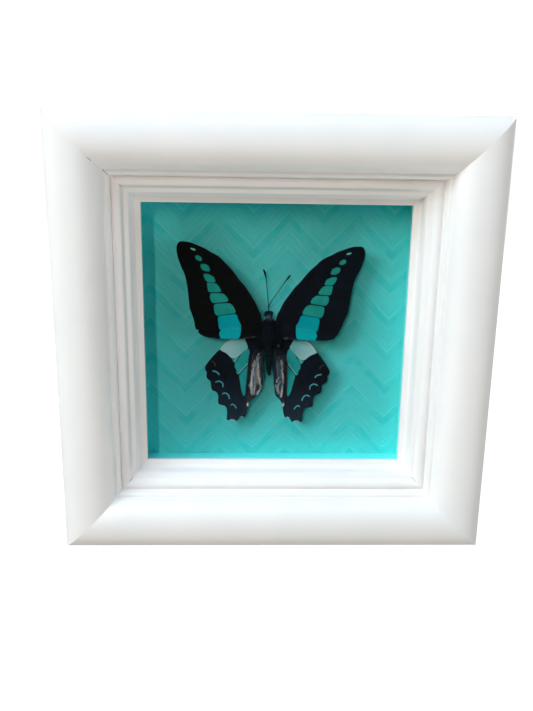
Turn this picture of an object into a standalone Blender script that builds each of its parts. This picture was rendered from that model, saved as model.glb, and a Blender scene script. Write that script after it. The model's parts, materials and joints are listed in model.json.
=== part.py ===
"""Framed butterfly specimen: a square white-painted wood shadow box with a spread butterfly in it.

Metres, +Z up. The front faces -Y and the frame stands on its bottom edge.
The origin is at the middle of the bottom of the object's box.
"""

import math

import bmesh
import bpy
from mathutils import Matrix, Vector

MM = 0.001
GAP = 0.3 * MM                      # play left between pieces that touch
SHARP_ANGLE = math.radians(35)      # edges bent more than this stay crisp

# Frame moulding
FRAME_SIDE = 165 * MM
HALF = FRAME_SIDE / 2
SIDE_DEPTH = 33.2 * MM              # flat outer side, from the rounded front to the back
CREST_HEIGHT = 6.8 * MM             # the big round above the outer side's front edge
CREST_IN = 10 * MM                  # from the outer side to the top of the big round
RAIL_WIDTH = 31 * MM                # from the outer side to the sight edge
MITRE_WASTE = 10 * MM               # cut off each end of a rail's blank
SIGHT_DROP = 12.8 * MM              # front of the lip, below the outer side's front edge
LIP_THICKNESS = 1.5 * MM
LIP_OVERLAP = 5 * MM                # how far the lip covers the glass
HANGER_THICKNESS = 0.7 * MM
HANGER_NAIL_HEAD = 0.5 * MM
HANGER_STAND = GAP + HANGER_THICKNESS + GAP + HANGER_NAIL_HEAD

# Heights along the frame's depth are measured towards the viewer from EDGE_Y, the front of the outer side.
EDGE_Y = (CREST_HEIGHT - SIDE_DEPTH - HANGER_STAND) / 2
BACK_Y = EDGE_Y + SIDE_DEPTH

# Inside the frame
RABBET_HALF = HALF - RAIL_WIDTH + LIP_OVERLAP
GLASS_THICKNESS = 1.2 * MM
GLASS_Y = EDGE_Y + SIGHT_DROP + LIP_THICKNESS + GAP
CARD_Y = EDGE_Y + 25.8 * MM         # front of the patterned card
CARD_THICKNESS = 1.5 * MM
SPACER_THICKNESS = 2.8 * MM
BACK_BOARD_THICKNESS = 2.5 * MM
TAB_LENGTH = 14 * MM
TAB_WIDTH = 6 * MM
TAB_THICKNESS = 0.5 * MM
TAB_IN_WOOD = 5 * MM

# Hanger
HANGER_LENGTH = 40 * MM
HANGER_WIDTH = 8 * MM
HANGER_DROP = 13 * MM               # below the top of the frame
HANGER_TEETH = 9
TOOTH_DEPTH = 1.6 * MM
TEETH_INSET = 7 * MM                # plain plate at each end of the teeth
NAIL_SPACING = 33 * MM
NAIL_RADIUS = 0.6 * MM
NAIL_HEAD_RADIUS = 1.5 * MM
NAIL_LENGTH = 8 * MM
NAIL_TIP = 1.2 * MM

# Butterfly, measured in mm from its own middle line and the height it is set at
SPECIMEN_X = -2.1 * MM
SPECIMEN_Z = HALF - 0.65 * MM
SPECIMEN_SCALE = 1.012              # the outlines below are of a slightly smaller specimen
WING_Y = CARD_Y - 4.0 * MM
WING_THICKNESS = 0.4 * MM
WING_CURVE_STEPS = 3                # straight pieces between two drawn points of a wing's edge
BODY_BEHIND_WINGS = 0.1 * MM
THORAX_RADIUS = 2.7 * MM
ANTENNA_RADIUS = 0.18 * MM
PAD_SIZE = (4 * MM, 7 * MM)
PAD_Z = 1.5 * MM

FOREWING = [
    (3.4, 8.6), (5.2, 12.4), (8.2, 17.0), (12.0, 21.5), (16.0, 26.0), (20.0, 29.8), (24.0, 32.1),
    (28.0, 33.9), (32.0, 35.2), (35.0, 35.4), (36.6, 34.7), (37.1, 32.4), (36.2, 28.2), (34.2, 23.8),
    (32.8, 19.4), (32.0, 14.4), (31.2, 9.4), (29.6, 5.0), (27.4, 0.4), (26.0, -1.3), (23.0, -2.0),
    (18.0, -2.2), (12.0, -2.0), (8.0, -1.4), (3.9, -0.3), (3.3, 3.6),
]
HINDWING = [
    (1.9, -10.0), (2.5, -5.6), (4.2, -3.6), (8.6, -2.0), (12.0, -1.9), (14.6, -2.3), (17.0, -4.2),
    (19.4, -7.2), (21.8, -10.2), (24.0, -13.4), (24.9, -15.6), (24.1, -17.5), (24.0, -19.4),
    (22.3, -21.0), (21.8, -23.6), (20.6, -24.9), (18.9, -26.0), (18.5, -27.6), (18.3, -29.8),
    (16.4, -30.8), (14.9, -31.6), (14.4, -33.6), (14.2, -36.6), (13.3, -37.2), (11.8, -36.6),
    (10.2, -37.2), (9.2, -36.0), (8.2, -35.0), (7.2, -35.2), (6.3, -33.0), (5.8, -29.6), (4.6, -27.0),
    (2.8, -25.0), (2.3, -21.5), (2.0, -16.0),
]
# The left wings are set a little higher than the right ones: turn in degrees, about a point, then a shift
LEFT_FOREWING_SET = (2.5, (15.0, 0.0), (0.9, 0.4))
LEFT_HINDWING_SET = (5.0, (8.0, -3.0), (0.0, 0.0))
# Height along the body and radius there, from the head down
BODY_PROFILE = [
    (9.4, 0.0), (9.1, 0.9), (8.2, 1.45), (7.2, 1.25), (6.5, 0.95), (5.6, 1.8), (3.8, 2.5), (1.8, 2.7),
    (-0.6, 2.4), (-2.6, 1.7), (-4.2, 1.35), (-8.0, 1.3), (-12.0, 1.1), (-15.2, 0.75), (-16.8, 0.3),
    (-17.1, 0.0),
]
ANTENNA_LEFT = [(-0.5, 9.8), (-0.9, 14.0), (-1.4, 19.4), (-2.0, 23.2), (-3.1, 25.8)]
ANTENNA_RIGHT = [(0.5, 9.8), (1.8, 14.4), (4.0, 18.8), (6.4, 22.4), (7.6, 24.0)]

WHITE_PAINT = (0.86, 0.86, 0.85, 1)
CLEAR_GLASS = (0.9, 0.95, 0.94, 1)
TURQUOISE = (0.06, 0.50, 0.48, 1)
BROWN_BOARD = (0.30, 0.18, 0.10, 1)
BARE_STEEL = (0.55, 0.55, 0.55, 1)
BRASS_PLATE = (0.72, 0.52, 0.24, 1)
WING_BLACK = (0.015, 0.012, 0.013, 1)
BODY_BLACK = (0.02, 0.018, 0.018, 1)
PALE_FOAM = (0.75, 0.74, 0.70, 1)


def make_material(name, colour, roughness, metallic=0.0):
    material = bpy.data.materials.new(name)
    material.use_nodes = True
    shader = material.node_tree.nodes["Principled BSDF"]
    shader.inputs["Base Color"].default_value = colour
    shader.inputs["Roughness"].default_value = roughness
    shader.inputs["Metallic"].default_value = metallic
    return material


def add_object(name, data, collection, material=None):
    obj = bpy.data.objects.new(name, data)
    collection.objects.link(obj)
    if material is not None:
        obj.data.materials.append(material)
    return obj


def add_box(name, low, high, collection, material=None):
    """A box between two corners, with its size applied to the mesh."""
    low = Vector(low)
    high = Vector(high)
    mesh = bpy.data.meshes.new(name)
    shape = bmesh.new()
    bmesh.ops.create_cube(shape, size=1)
    bmesh.ops.scale(shape, verts=shape.verts, vec=high - low)
    shape.to_mesh(mesh)
    shape.free()
    obj = add_object(name, mesh, collection, material)
    obj.location = (low + high) / 2
    return obj


def add_outline(name, points, thickness, collection, bezier=False, holes=()):
    """A flat outline with an even thickness, as a filled 2D curve in its own XY plane."""
    curve = bpy.data.curves.new(name, "CURVE")
    curve.dimensions = "2D"
    curve.fill_mode = "BOTH"
    curve.extrude = thickness / 2
    curve.resolution_u = WING_CURVE_STEPS
    curve.render_resolution_u = WING_CURVE_STEPS
    spline = curve.splines.new("BEZIER" if bezier else "POLY")
    if bezier:
        spline.bezier_points.add(len(points) - 1)
        for knot, (x, y) in zip(spline.bezier_points, points):
            knot.co = (x, y, 0)
            knot.handle_left_type = "AUTO"
            knot.handle_right_type = "AUTO"
    else:
        spline.points.add(len(points) - 1)
        for knot, (x, y) in zip(spline.points, points):
            knot.co = (x, y, 0, 1)
    spline.use_cyclic_u = True
    for hole in holes:
        rim = curve.splines.new("POLY")
        rim.points.add(len(hole) - 1)
        for knot, (x, y) in zip(rim.points, hole):
            knot.co = (x, y, 0, 1)
        rim.use_cyclic_u = True
    return add_object(name, curve, collection)


def curve_to_mesh(obj, collection, material):
    """Swap a curve object for a closed mesh object of the same name and place."""
    name = obj.name
    place = obj.matrix_world.copy()
    bpy.context.view_layer.update()
    evaluated = obj.evaluated_get(bpy.context.evaluated_depsgraph_get())
    mesh = bpy.data.meshes.new_from_object(evaluated)
    bpy.data.objects.remove(obj)
    shape = bmesh.new()
    shape.from_mesh(mesh)
    bmesh.ops.remove_doubles(shape, verts=shape.verts, dist=0.001 * MM)
    bmesh.ops.recalc_face_normals(shape, faces=shape.faces)
    shape.to_mesh(mesh)
    shape.free()
    mesh.shade_smooth()
    mesh.set_sharp_from_angle(angle=SHARP_ANGLE)
    mesh.materials.clear()
    swapped = add_object(name, mesh, collection, material)
    swapped.matrix_world = place
    return swapped


def cut_away(obj, cutter):
    modifier = obj.modifiers.new("cut", "BOOLEAN")
    modifier.operation = "DIFFERENCE"
    modifier.solver = "EXACT"
    modifier.object = cutter
    cutter.hide_render = True
    cutter.display_type = "WIRE"


def ellipse_arc(centre, radii, start, end, steps):
    """Points on an ellipse, from one angle to another in degrees, both ends in."""
    points = []
    for step in range(steps + 1):
        angle = math.radians(start + (end - start) * step / steps)
        x = centre[0] + radii[0] * math.cos(angle)
        y = centre[1] + radii[1] * math.sin(angle)
        points.append((x, y))
    return points


def moulding_profile():
    """The rail's section: distance in from the outer side, and height towards the viewer."""
    big_round_foot = (19.6 * MM, -1.0 * MM)
    groove = (21.7 * MM, -4.4 * MM)
    step_foot = (25.6 * MM, -6.0 * MM)
    cove_top = (27.9 * MM, -8.4 * MM)
    back = -SIDE_DEPTH
    rabbet = RAIL_WIDTH - LIP_OVERLAP
    lip_back = -SIGHT_DROP - LIP_THICKNESS
    points = [(rabbet, back), (0, back)]
    points += ellipse_arc((CREST_IN, 0), (CREST_IN, CREST_HEIGHT), 180, 90, 7)
    inner_reach = big_round_foot[0] - CREST_IN
    inner_drop = CREST_HEIGHT - big_round_foot[1]
    points += ellipse_arc((CREST_IN, big_round_foot[1]), (inner_reach, inner_drop), 90, 0, 7)[1:]
    # narrow bead beside the big round, then a groove
    bead_drop = big_round_foot[1] - groove[1]
    bead_reach = groove[0] - big_round_foot[0]
    bead_centre = (big_round_foot[0] + 0.4 * bead_reach, groove[1])
    points += ellipse_arc(bead_centre, (0.6 * bead_reach, bead_drop), 90, 0, 3)
    # low rounded step, a small flat, then the cove that runs out to the lip
    step_reach = step_foot[0] - groove[0]
    step_rise = 1.1 * MM
    step_centre = (groove[0] + 0.3 * step_reach, step_foot[1])
    step_height = groove[1] + step_rise - step_foot[1]
    points += ellipse_arc(step_centre, (0.7 * step_reach, step_height), 90, 0, 4)
    points.append((cove_top[0] - 0.5 * MM, -6.9 * MM))
    points.append(cove_top)
    cove_reach = 1.2 * MM
    cove_centre = (cove_top[0] + cove_reach, cove_top[1])
    cove_drop = SIGHT_DROP - 0.5 * MM + cove_top[1]
    points += ellipse_arc(cove_centre, (cove_reach, cove_drop), 180, 270, 4)[1:]
    points.append((RAIL_WIDTH, -SIGHT_DROP))
    points.append((RAIL_WIDTH, lip_back))
    points.append((rabbet, lip_back))
    return points


def turn_about_middle(quarter_turns):
    """Rotation about the frame's front-to-back middle line."""
    middle = Matrix.Translation((0, 0, HALF))
    return middle @ Matrix.Rotation(-quarter_turns * math.pi / 2, 4, "Y") @ middle.inverted()


def keep_between_mitres(mesh):
    """Cut a rail's ends at 45 degrees; the rail lies along the bottom here."""
    shape = bmesh.new()
    shape.from_mesh(mesh)
    for side in (-1, 1):
        outward = Vector((side, 0, 1)).normalized()
        corner = Vector((side * HALF, 0, 0)) - outward * GAP / 2
        everything = shape.verts[:] + shape.edges[:] + shape.faces[:]
        bmesh.ops.bisect_plane(shape, geom=everything, plane_co=corner, plane_no=outward, clear_outer=True)
        open_edges = [edge for edge in shape.edges if edge.is_boundary]
        bmesh.ops.holes_fill(shape, edges=open_edges, sides=0)
    bmesh.ops.recalc_face_normals(shape, faces=shape.faces)
    shape.to_mesh(mesh)
    shape.free()


def build_rail(name, quarter_turns, collection, material):
    rail = add_outline(name, moulding_profile(), FRAME_SIDE + 2 * MITRE_WASTE, collection)
    # the section's X runs up, its Y runs to the viewer, and its length runs along X
    lay_down = Matrix(((0, 0, 1, 0), (0, -1, 0, EDGE_Y), (1, 0, 0, 0), (0, 0, 0, 1)))
    rail = curve_to_mesh(rail, collection, material)
    rail.data.transform(lay_down)
    keep_between_mitres(rail.data)
    rail.data.transform(turn_about_middle(quarter_turns))
    return rail


def build_frame(parts, cutters, paint):
    names = ["rail_bottom", "rail_left", "rail_top", "rail_right"]
    tab_y = tab_centre_y()
    for turns, name in enumerate(names):
        rail = build_rail(name, turns, parts, paint)
        reach = TAB_WIDTH / 2 + GAP
        low = (-reach, tab_y - TAB_THICKNESS / 2 - GAP, HALF - RABBET_HALF - TAB_IN_WOOD - GAP)
        high = (reach, tab_y + TAB_THICKNESS / 2 + GAP, HALF - RABBET_HALF + GAP)
        slot = add_box(name + "_slot_cutter", low, high, cutters)
        slot.matrix_world = turn_about_middle(turns) @ Matrix.Translation(slot.location)
        cut_away(rail, slot)
        if name == "rail_top":
            for side in (-1, 1):
                cut_away(rail, nail_hole_cutter(side, cutters))


def tab_centre_y():
    return CARD_Y + CARD_THICKNESS + BACK_BOARD_THICKNESS + 2 * GAP + TAB_THICKNESS / 2


def build_glazing(parts, glass, lining, card_face):
    reach = RABBET_HALF - GAP
    glass_back = GLASS_Y + GLASS_THICKNESS
    add_box("glass", (-reach, GLASS_Y, HALF - reach), (reach, glass_back, HALF + reach), parts, glass)
    card_back = CARD_Y + CARD_THICKNESS
    add_box("patterned_card", (-reach, CARD_Y, HALF - reach), (reach, card_back, HALF + reach), parts, card_face)
    front = glass_back + GAP
    back = CARD_Y - GAP
    inner = reach - SPACER_THICKNESS
    for name, side in (("spacer_bottom", -1), ("spacer_top", 1)):
        edges = sorted((HALF + side * inner, HALF + side * reach))
        add_box(name, (-reach, front, edges[0]), (reach, back, edges[1]), parts, lining)
    for name, side in (("spacer_left", -1), ("spacer_right", 1)):
        edges = sorted((side * inner, side * reach))
        low = (edges[0], front, HALF - inner + GAP)
        high = (edges[1], back, HALF + inner - GAP)
        add_box(name, low, high, parts, lining)


def build_back(parts, board, steel, plate):
    reach = RABBET_HALF - GAP
    front = CARD_Y + CARD_THICKNESS + GAP
    low = (-reach, front, HALF - reach)
    high = (reach, front + BACK_BOARD_THICKNESS, HALF + reach)
    add_box("back_board", low, high, parts, board)
    tab_y = tab_centre_y()
    for turns, name in enumerate(["tab_bottom", "tab_left", "tab_top", "tab_right"]):
        start = HALF - RABBET_HALF - TAB_IN_WOOD
        point = TAB_WIDTH / 2
        outline = [
            (-point, start), (point, start), (point, start + TAB_LENGTH - point),
            (0, start + TAB_LENGTH), (-point, start + TAB_LENGTH - point),
        ]
        tab = add_outline(name, outline, TAB_THICKNESS, parts)
        stand_up = Matrix(((1, 0, 0, 0), (0, 0, -1, tab_y), (0, 1, 0, 0), (0, 0, 0, 1)))
        tab = curve_to_mesh(tab, parts, steel)
        tab.data.transform(turn_about_middle(turns) @ stand_up)
    build_hanger(parts, plate, steel)


def nail_place(side):
    return (side * NAIL_SPACING / 2, BACK_Y, FRAME_SIDE - HANGER_DROP)


def nail_hole_cutter(side, cutters):
    bore = NAIL_RADIUS + GAP
    shape = bmesh.new()
    length = 2 * NAIL_LENGTH + 2 * GAP
    bmesh.ops.create_cone(
        shape, cap_ends=True, segments=12, radius1=bore, radius2=bore, depth=length,
        matrix=Matrix.Rotation(math.pi / 2, 4, "X"),
    )
    mesh = bpy.data.meshes.new("nail_hole_cutter")
    shape.to_mesh(mesh)
    shape.free()
    cutter = add_object(mesh.name, mesh, cutters)
    cutter.location = nail_place(side)
    return cutter


def build_hanger(parts, plate, steel):
    half_length = HANGER_LENGTH / 2
    half_width = HANGER_WIDTH / 2
    teeth_from = -half_length + TEETH_INSET
    pitch = (HANGER_LENGTH - 2 * TEETH_INSET) / HANGER_TEETH
    outline = [(-half_length, half_width), (-half_length, -half_width)]
    for tooth in range(HANGER_TEETH):
        start = teeth_from + tooth * pitch
        outline += [(start, -half_width), (start + pitch / 2, -half_width + TOOTH_DEPTH)]
    outline += [(-teeth_from, -half_width), (half_length, -half_width), (half_length, half_width)]
    bore = NAIL_RADIUS + GAP
    holes = [ellipse_arc((side * NAIL_SPACING / 2, 0), (bore, bore), 0, 330, 11) for side in (-1, 1)]
    hanger = add_outline("sawtooth_hanger", outline, HANGER_THICKNESS, parts, holes=holes)
    centre_y = BACK_Y + GAP + HANGER_THICKNESS / 2
    stand_up = Matrix(((1, 0, 0, 0), (0, 0, -1, centre_y), (0, 1, 0, FRAME_SIDE - HANGER_DROP), (0, 0, 0, 1)))
    hanger = curve_to_mesh(hanger, parts, plate)
    hanger.data.transform(stand_up)
    for name, side in (("hanger_nail_left", -1), ("hanger_nail_right", 1)):
        build_nail(name, side, parts, steel)


def build_nail(name, side, parts, steel):
    """A nail turned about its own length, head to the back."""
    head_back = HANGER_STAND
    head_front = head_back - HANGER_NAIL_HEAD
    tip = head_front - NAIL_LENGTH
    point = tip + NAIL_TIP
    profile = [
        (0, head_back), (NAIL_HEAD_RADIUS, head_back), (NAIL_HEAD_RADIUS, head_front),
        (NAIL_RADIUS, head_front), (NAIL_RADIUS, point), (0, tip),
    ]
    nail = add_turned(name, profile, 12, parts, steel)
    nail.rotation_euler = (-math.pi / 2, 0, 0)
    nail.location = nail_place(side)


def add_turned(name, profile, sides, collection, material):
    """A profile of (radius, height) points, from the top down, turned about Z."""
    mesh = bpy.data.meshes.new(name)
    points = [(radius, 0, height) for radius, height in profile]
    edges = [(i, i + 1) for i in range(len(points) - 1)]
    mesh.from_pydata(points, edges, [])
    obj = add_object(name, mesh, collection, material)
    screw = obj.modifiers.new("turn", "SCREW")
    screw.steps = sides
    screw.render_steps = sides
    screw.use_merge_vertices = True
    screw.merge_threshold = 0.001 * MM
    return obj


def set_outline(outline, setting):
    """An outline turned about a point and shifted."""
    degrees, pivot, shift = setting
    turn = math.radians(degrees)
    points = []
    for x, z in outline:
        dx = x - pivot[0]
        dz = z - pivot[1]
        turned_x = pivot[0] + dx * math.cos(turn) - dz * math.sin(turn)
        turned_z = pivot[1] + dx * math.sin(turn) + dz * math.cos(turn)
        points.append((turned_x + shift[0], turned_z + shift[1]))
    return points


def build_wing(name, outline, side, height, collection, material):
    scale = SPECIMEN_SCALE * MM
    points = [(side * x * scale, z * scale) for x, z in outline]
    wing = add_outline(name, points, WING_THICKNESS, collection, bezier=True)
    wing = curve_to_mesh(wing, collection, material)
    stand_up = Matrix(((1, 0, 0, SPECIMEN_X), (0, 0, -1, height), (0, 1, 0, SPECIMEN_Z), (0, 0, 0, 1)))
    wing.data.transform(stand_up)


def build_antenna(name, route, collection, material):
    curve = bpy.data.curves.new(name, "CURVE")
    curve.dimensions = "3D"
    curve.bevel_depth = ANTENNA_RADIUS
    curve.bevel_resolution = 2
    curve.use_fill_caps = True
    spline = curve.splines.new("POLY")
    spline.points.add(len(route) - 1)
    scale = SPECIMEN_SCALE * MM
    for knot, (x, z) in zip(spline.points, route):
        knot.co = (x * scale, 0, z * scale, 1)
    antenna = add_object(name, curve, collection, material)
    antenna.location = (SPECIMEN_X, WING_Y, SPECIMEN_Z)


def build_butterfly(parts, wing, body):
    over = WING_Y - WING_THICKNESS / 2 - GAP / 2
    under = WING_Y + WING_THICKNESS / 2 + GAP / 2
    build_wing("forewing_left", set_outline(FOREWING, LEFT_FOREWING_SET), -1, over, parts, wing)
    build_wing("forewing_right", FOREWING, 1, over, parts, wing)
    build_wing("hindwing_left", set_outline(HINDWING, LEFT_HINDWING_SET), -1, under, parts, wing)
    build_wing("hindwing_right", HINDWING, 1, under, parts, wing)
    profile = [(radius * MM, height * MM) for height, radius in BODY_PROFILE]
    trunk = add_turned("butterfly_body", profile, 16, parts, body)
    trunk.location = (SPECIMEN_X, WING_Y + BODY_BEHIND_WINGS, SPECIMEN_Z)
    build_antenna("antenna_left", ANTENNA_LEFT, parts, body)
    build_antenna("antenna_right", ANTENNA_RIGHT, parts, body)


def build_pad(parts, foam):
    front = WING_Y + BODY_BEHIND_WINGS + THORAX_RADIUS + GAP
    low = (SPECIMEN_X - PAD_SIZE[0] / 2, front, SPECIMEN_Z + PAD_Z - PAD_SIZE[1] / 2)
    high = (SPECIMEN_X + PAD_SIZE[0] / 2, CARD_Y - GAP, SPECIMEN_Z + PAD_Z + PAD_SIZE[1] / 2)
    add_box("mounting_pad", low, high, parts, foam)


def build():
    for obj in list(bpy.data.objects):
        bpy.data.objects.remove(obj)
    parts = bpy.data.collections.new("framed_butterfly")
    cutters = bpy.data.collections.new("cutters")
    bpy.context.scene.collection.children.link(parts)
    bpy.context.scene.collection.children.link(cutters)
    paint = make_material("white_paint", WHITE_PAINT, 0.4)
    glass = make_material("clear_glass", CLEAR_GLASS, 0.05)
    paper = make_material("turquoise_paper", TURQUOISE, 0.7)
    board = make_material("brown_board", BROWN_BOARD, 0.8)
    steel = make_material("bare_steel", BARE_STEEL, 0.35, 1.0)
    plate = make_material("brass_plate", BRASS_PLATE, 0.3, 1.0)
    wing = make_material("wing_scales", WING_BLACK, 0.6)
    body = make_material("body_hair", BODY_BLACK, 0.8)
    foam = make_material("pale_foam", PALE_FOAM, 0.9)
    build_frame(parts, cutters, paint)
    build_glazing(parts, glass, paper, paper)
    build_back(parts, board, steel, plate)
    build_butterfly(parts, wing, body)
    build_pad(parts, foam)


build()
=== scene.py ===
"""A butterfly set over turquoise paper in a deep white moulding, behind glass."""

import json
import math
from contextlib import contextmanager

import bmesh
import bpy
import numpy as np
from mathutils import Matrix, Vector

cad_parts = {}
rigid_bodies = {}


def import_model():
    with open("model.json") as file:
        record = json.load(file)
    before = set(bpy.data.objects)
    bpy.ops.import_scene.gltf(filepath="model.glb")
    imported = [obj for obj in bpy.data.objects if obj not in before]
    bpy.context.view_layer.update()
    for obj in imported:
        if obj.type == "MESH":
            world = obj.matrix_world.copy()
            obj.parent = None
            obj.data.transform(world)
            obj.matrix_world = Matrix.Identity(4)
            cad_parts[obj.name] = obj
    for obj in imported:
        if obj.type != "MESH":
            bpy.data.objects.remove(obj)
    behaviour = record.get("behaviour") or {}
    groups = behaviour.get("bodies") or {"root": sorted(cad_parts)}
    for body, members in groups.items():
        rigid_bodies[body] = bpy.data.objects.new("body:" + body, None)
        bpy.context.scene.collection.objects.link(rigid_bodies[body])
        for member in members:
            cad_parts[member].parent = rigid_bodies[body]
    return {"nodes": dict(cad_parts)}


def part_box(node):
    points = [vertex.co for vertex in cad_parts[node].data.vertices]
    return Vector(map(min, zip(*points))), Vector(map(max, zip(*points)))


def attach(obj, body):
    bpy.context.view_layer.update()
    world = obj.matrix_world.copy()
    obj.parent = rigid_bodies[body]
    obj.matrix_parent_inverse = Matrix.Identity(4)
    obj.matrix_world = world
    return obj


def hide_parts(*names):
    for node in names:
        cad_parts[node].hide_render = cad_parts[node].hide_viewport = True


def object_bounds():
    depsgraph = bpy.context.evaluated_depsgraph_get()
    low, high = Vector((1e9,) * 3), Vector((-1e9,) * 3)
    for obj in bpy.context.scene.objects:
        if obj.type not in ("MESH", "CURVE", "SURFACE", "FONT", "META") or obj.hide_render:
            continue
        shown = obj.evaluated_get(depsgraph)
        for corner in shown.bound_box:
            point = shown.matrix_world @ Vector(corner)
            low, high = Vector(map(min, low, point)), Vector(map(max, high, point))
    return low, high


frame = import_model()
CAD_LOW, CAD_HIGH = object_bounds()

MM = 0.001
HALF = (CAD_HIGH.x - CAD_LOW.x) / 2
CREST_Y = CAD_LOW.y
BACK_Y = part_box("rail_bottom")[1].y

# The moulding's section in mm: u runs in from the outer side, and v out towards the viewer from the outer edge
CREST_IN = 10.0
CREST_HEIGHT = 6.8
RAIL_WIDTH = 31.0
SIGHT_DROP = 12.8
LIP_THICKNESS = 1.5
CREVICE = 25.4
LIP_OVERLAP = 5.0
EDGE_Y = CREST_Y + CREST_HEIGHT * MM
SIDE_DEPTH = (BACK_Y - EDGE_Y) / MM

# The insect's middle line, the height it is set at and its wings' depth. Its outlines below are of an insect of
# 46 mm forewing, and it is a little larger
SPECIMEN_X = -2.1 * MM
SPECIMEN_Z = HALF - 0.65 * MM
SPECIMEN_SCALE = 1.012
CARD_TO_WINGS = 4.0 * MM
WING_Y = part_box("patterned_card")[0].y - CARD_TO_WINGS
BODY_Y = WING_Y + 0.1 * MM
WING_THICKNESS = 0.16 * MM
WING_GAP = 0.3 * MM
OVER_Y = WING_Y - WING_THICKNESS / 2 - WING_GAP
UNDER_Y = WING_Y + WING_THICKNESS / 2 + WING_GAP


# ---------------------------------------------------------------- modelling by hand


def deselect():
    bpy.ops.object.select_all(action="DESELECT")


def pick(*pieces):
    """Selects these pieces and nothing else, the first of them active."""
    deselect()
    for piece in pieces:
        piece.select_set(True)
    bpy.context.view_layer.objects.active = pieces[0]


def named(piece, name):
    piece.name = name
    piece.data.name = name
    return piece


@contextmanager
def editing(piece, mode="VERT"):
    """Edit mode on one piece, with all of it selected."""
    pick(piece)
    bpy.ops.object.mode_set(mode="EDIT")
    bpy.ops.mesh.select_mode(type=mode)
    bpy.ops.mesh.select_all(action="SELECT")
    yield
    bpy.ops.object.mode_set(mode="OBJECT")


def settle(piece):
    """Puts the piece's place into its mesh, and its object at the origin."""
    pick(piece)
    bpy.ops.object.transform_apply(location=True, rotation=True, scale=True)


def reshape(piece, matrix):
    piece.matrix_world = matrix @ piece.matrix_world
    settle(piece)


def apply_modifier(piece, kind, **settings):
    pick(piece)
    modifier = piece.modifiers.new(kind.title(), kind)
    for key, value in settings.items():
        setattr(modifier, key, value)
    bpy.ops.object.modifier_apply(modifier=modifier.name)


def shade(piece, degrees=None):
    """Smooth shading, all over or with the edges sharper than this many degrees kept."""
    pick(piece)
    if degrees is None:
        bpy.ops.object.shade_smooth()
    else:
        bpy.ops.object.shade_smooth_by_angle(angle=math.radians(degrees))


def face_outwards(piece):
    with editing(piece, "FACE"):
        bpy.ops.mesh.normals_make_consistent(inside=False)


def face_viewer(sheet):
    """Turns an open sheet's faces towards the glass."""
    face_outwards(sheet)
    if sum(face.normal.y * face.area for face in sheet.data.polygons) > 0:
        with editing(sheet, "FACE"):
            bpy.ops.mesh.flip_normals()


def copy_piece(piece, name):
    pick(piece)
    bpy.ops.object.duplicate(linked=False)
    return named(bpy.context.object, name)


def join(pieces, name):
    pick(*pieces)
    bpy.ops.object.join()
    return named(bpy.context.object, name)


def drawn_plate(name, points):
    """A flat plate of as many corners as points, each corner drawn to its place."""
    deselect()
    bpy.ops.mesh.primitive_circle_add(vertices=len(points), radius=MM, fill_type="NGON")
    plate = named(bpy.context.object, name)
    for corner, place in zip(plate.data.vertices, points):
        corner.co = place
    return plate


def extrude_plate(plate, by):
    with editing(plate, "FACE"):
        bpy.ops.mesh.extrude_region_move(TRANSFORM_OT_translate={"value": by})
    face_outwards(plate)


def box_piece(name, low, high, bevel, segments=3):
    """A board or strip, cut to its box and with its edges eased."""
    middle = (low + high) / 2
    deselect()
    bpy.ops.mesh.primitive_cube_add(size=1, location=middle)
    piece = named(bpy.context.object, name)
    with editing(piece):
        bpy.ops.transform.resize(value=high - low, center_override=middle)
    settle(piece)
    shade(piece)
    apply_modifier(piece, "BEVEL", width=bevel, segments=segments, limit_method="ANGLE", harden_normals=True)
    return piece


def smooth_line(points, steps, closed=False):
    """A flowing line through the points, as a list of 2D places."""
    ring = [Vector(p) for p in points]
    count = len(ring)
    spans = count if closed else count - 1
    line = []
    for i in range(spans):
        if closed:
            before, here, there, after = (ring[(i + k) % count] for k in (-1, 0, 1, 2))
        else:
            before = ring[max(i - 1, 0)]
            here, there = ring[i], ring[i + 1]
            after = ring[min(i + 2, count - 1)]
        square = 2 * before - 5 * here + 4 * there - after
        cube = 3 * here - before - 3 * there + after
        for k in range(steps):
            t = k / steps
            line.append(0.5 * (2 * here + (there - before) * t + square * t**2 + cube * t**3))
    if not closed:
        line.append(ring[-1])
    return line


# ---------------------------------------------------------------- finishes


def srgb(red, green, blue):
    """A colour read off a paint card, as the shader takes it."""
    parts = [c / 255 for c in (red, green, blue)]
    return tuple(c / 12.92 if c <= 0.04045 else ((c + 0.055) / 1.055) ** 2.4 for c in parts) + (1.0,)


def feed(tree, socket, value):
    """Links the socket where the value is another node's socket, and otherwise sets it."""
    if isinstance(value, bpy.types.NodeSocket):
        tree.links.new(value, socket)
    else:
        socket.default_value = value


def add_node(tree, kind, inputs=(), **settings):
    made = tree.nodes.new(kind)
    for key, value in settings.items():
        setattr(made, key, value)
    for key, value in dict(inputs).items():
        feed(tree, made.inputs[key], value)
    return made


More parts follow.
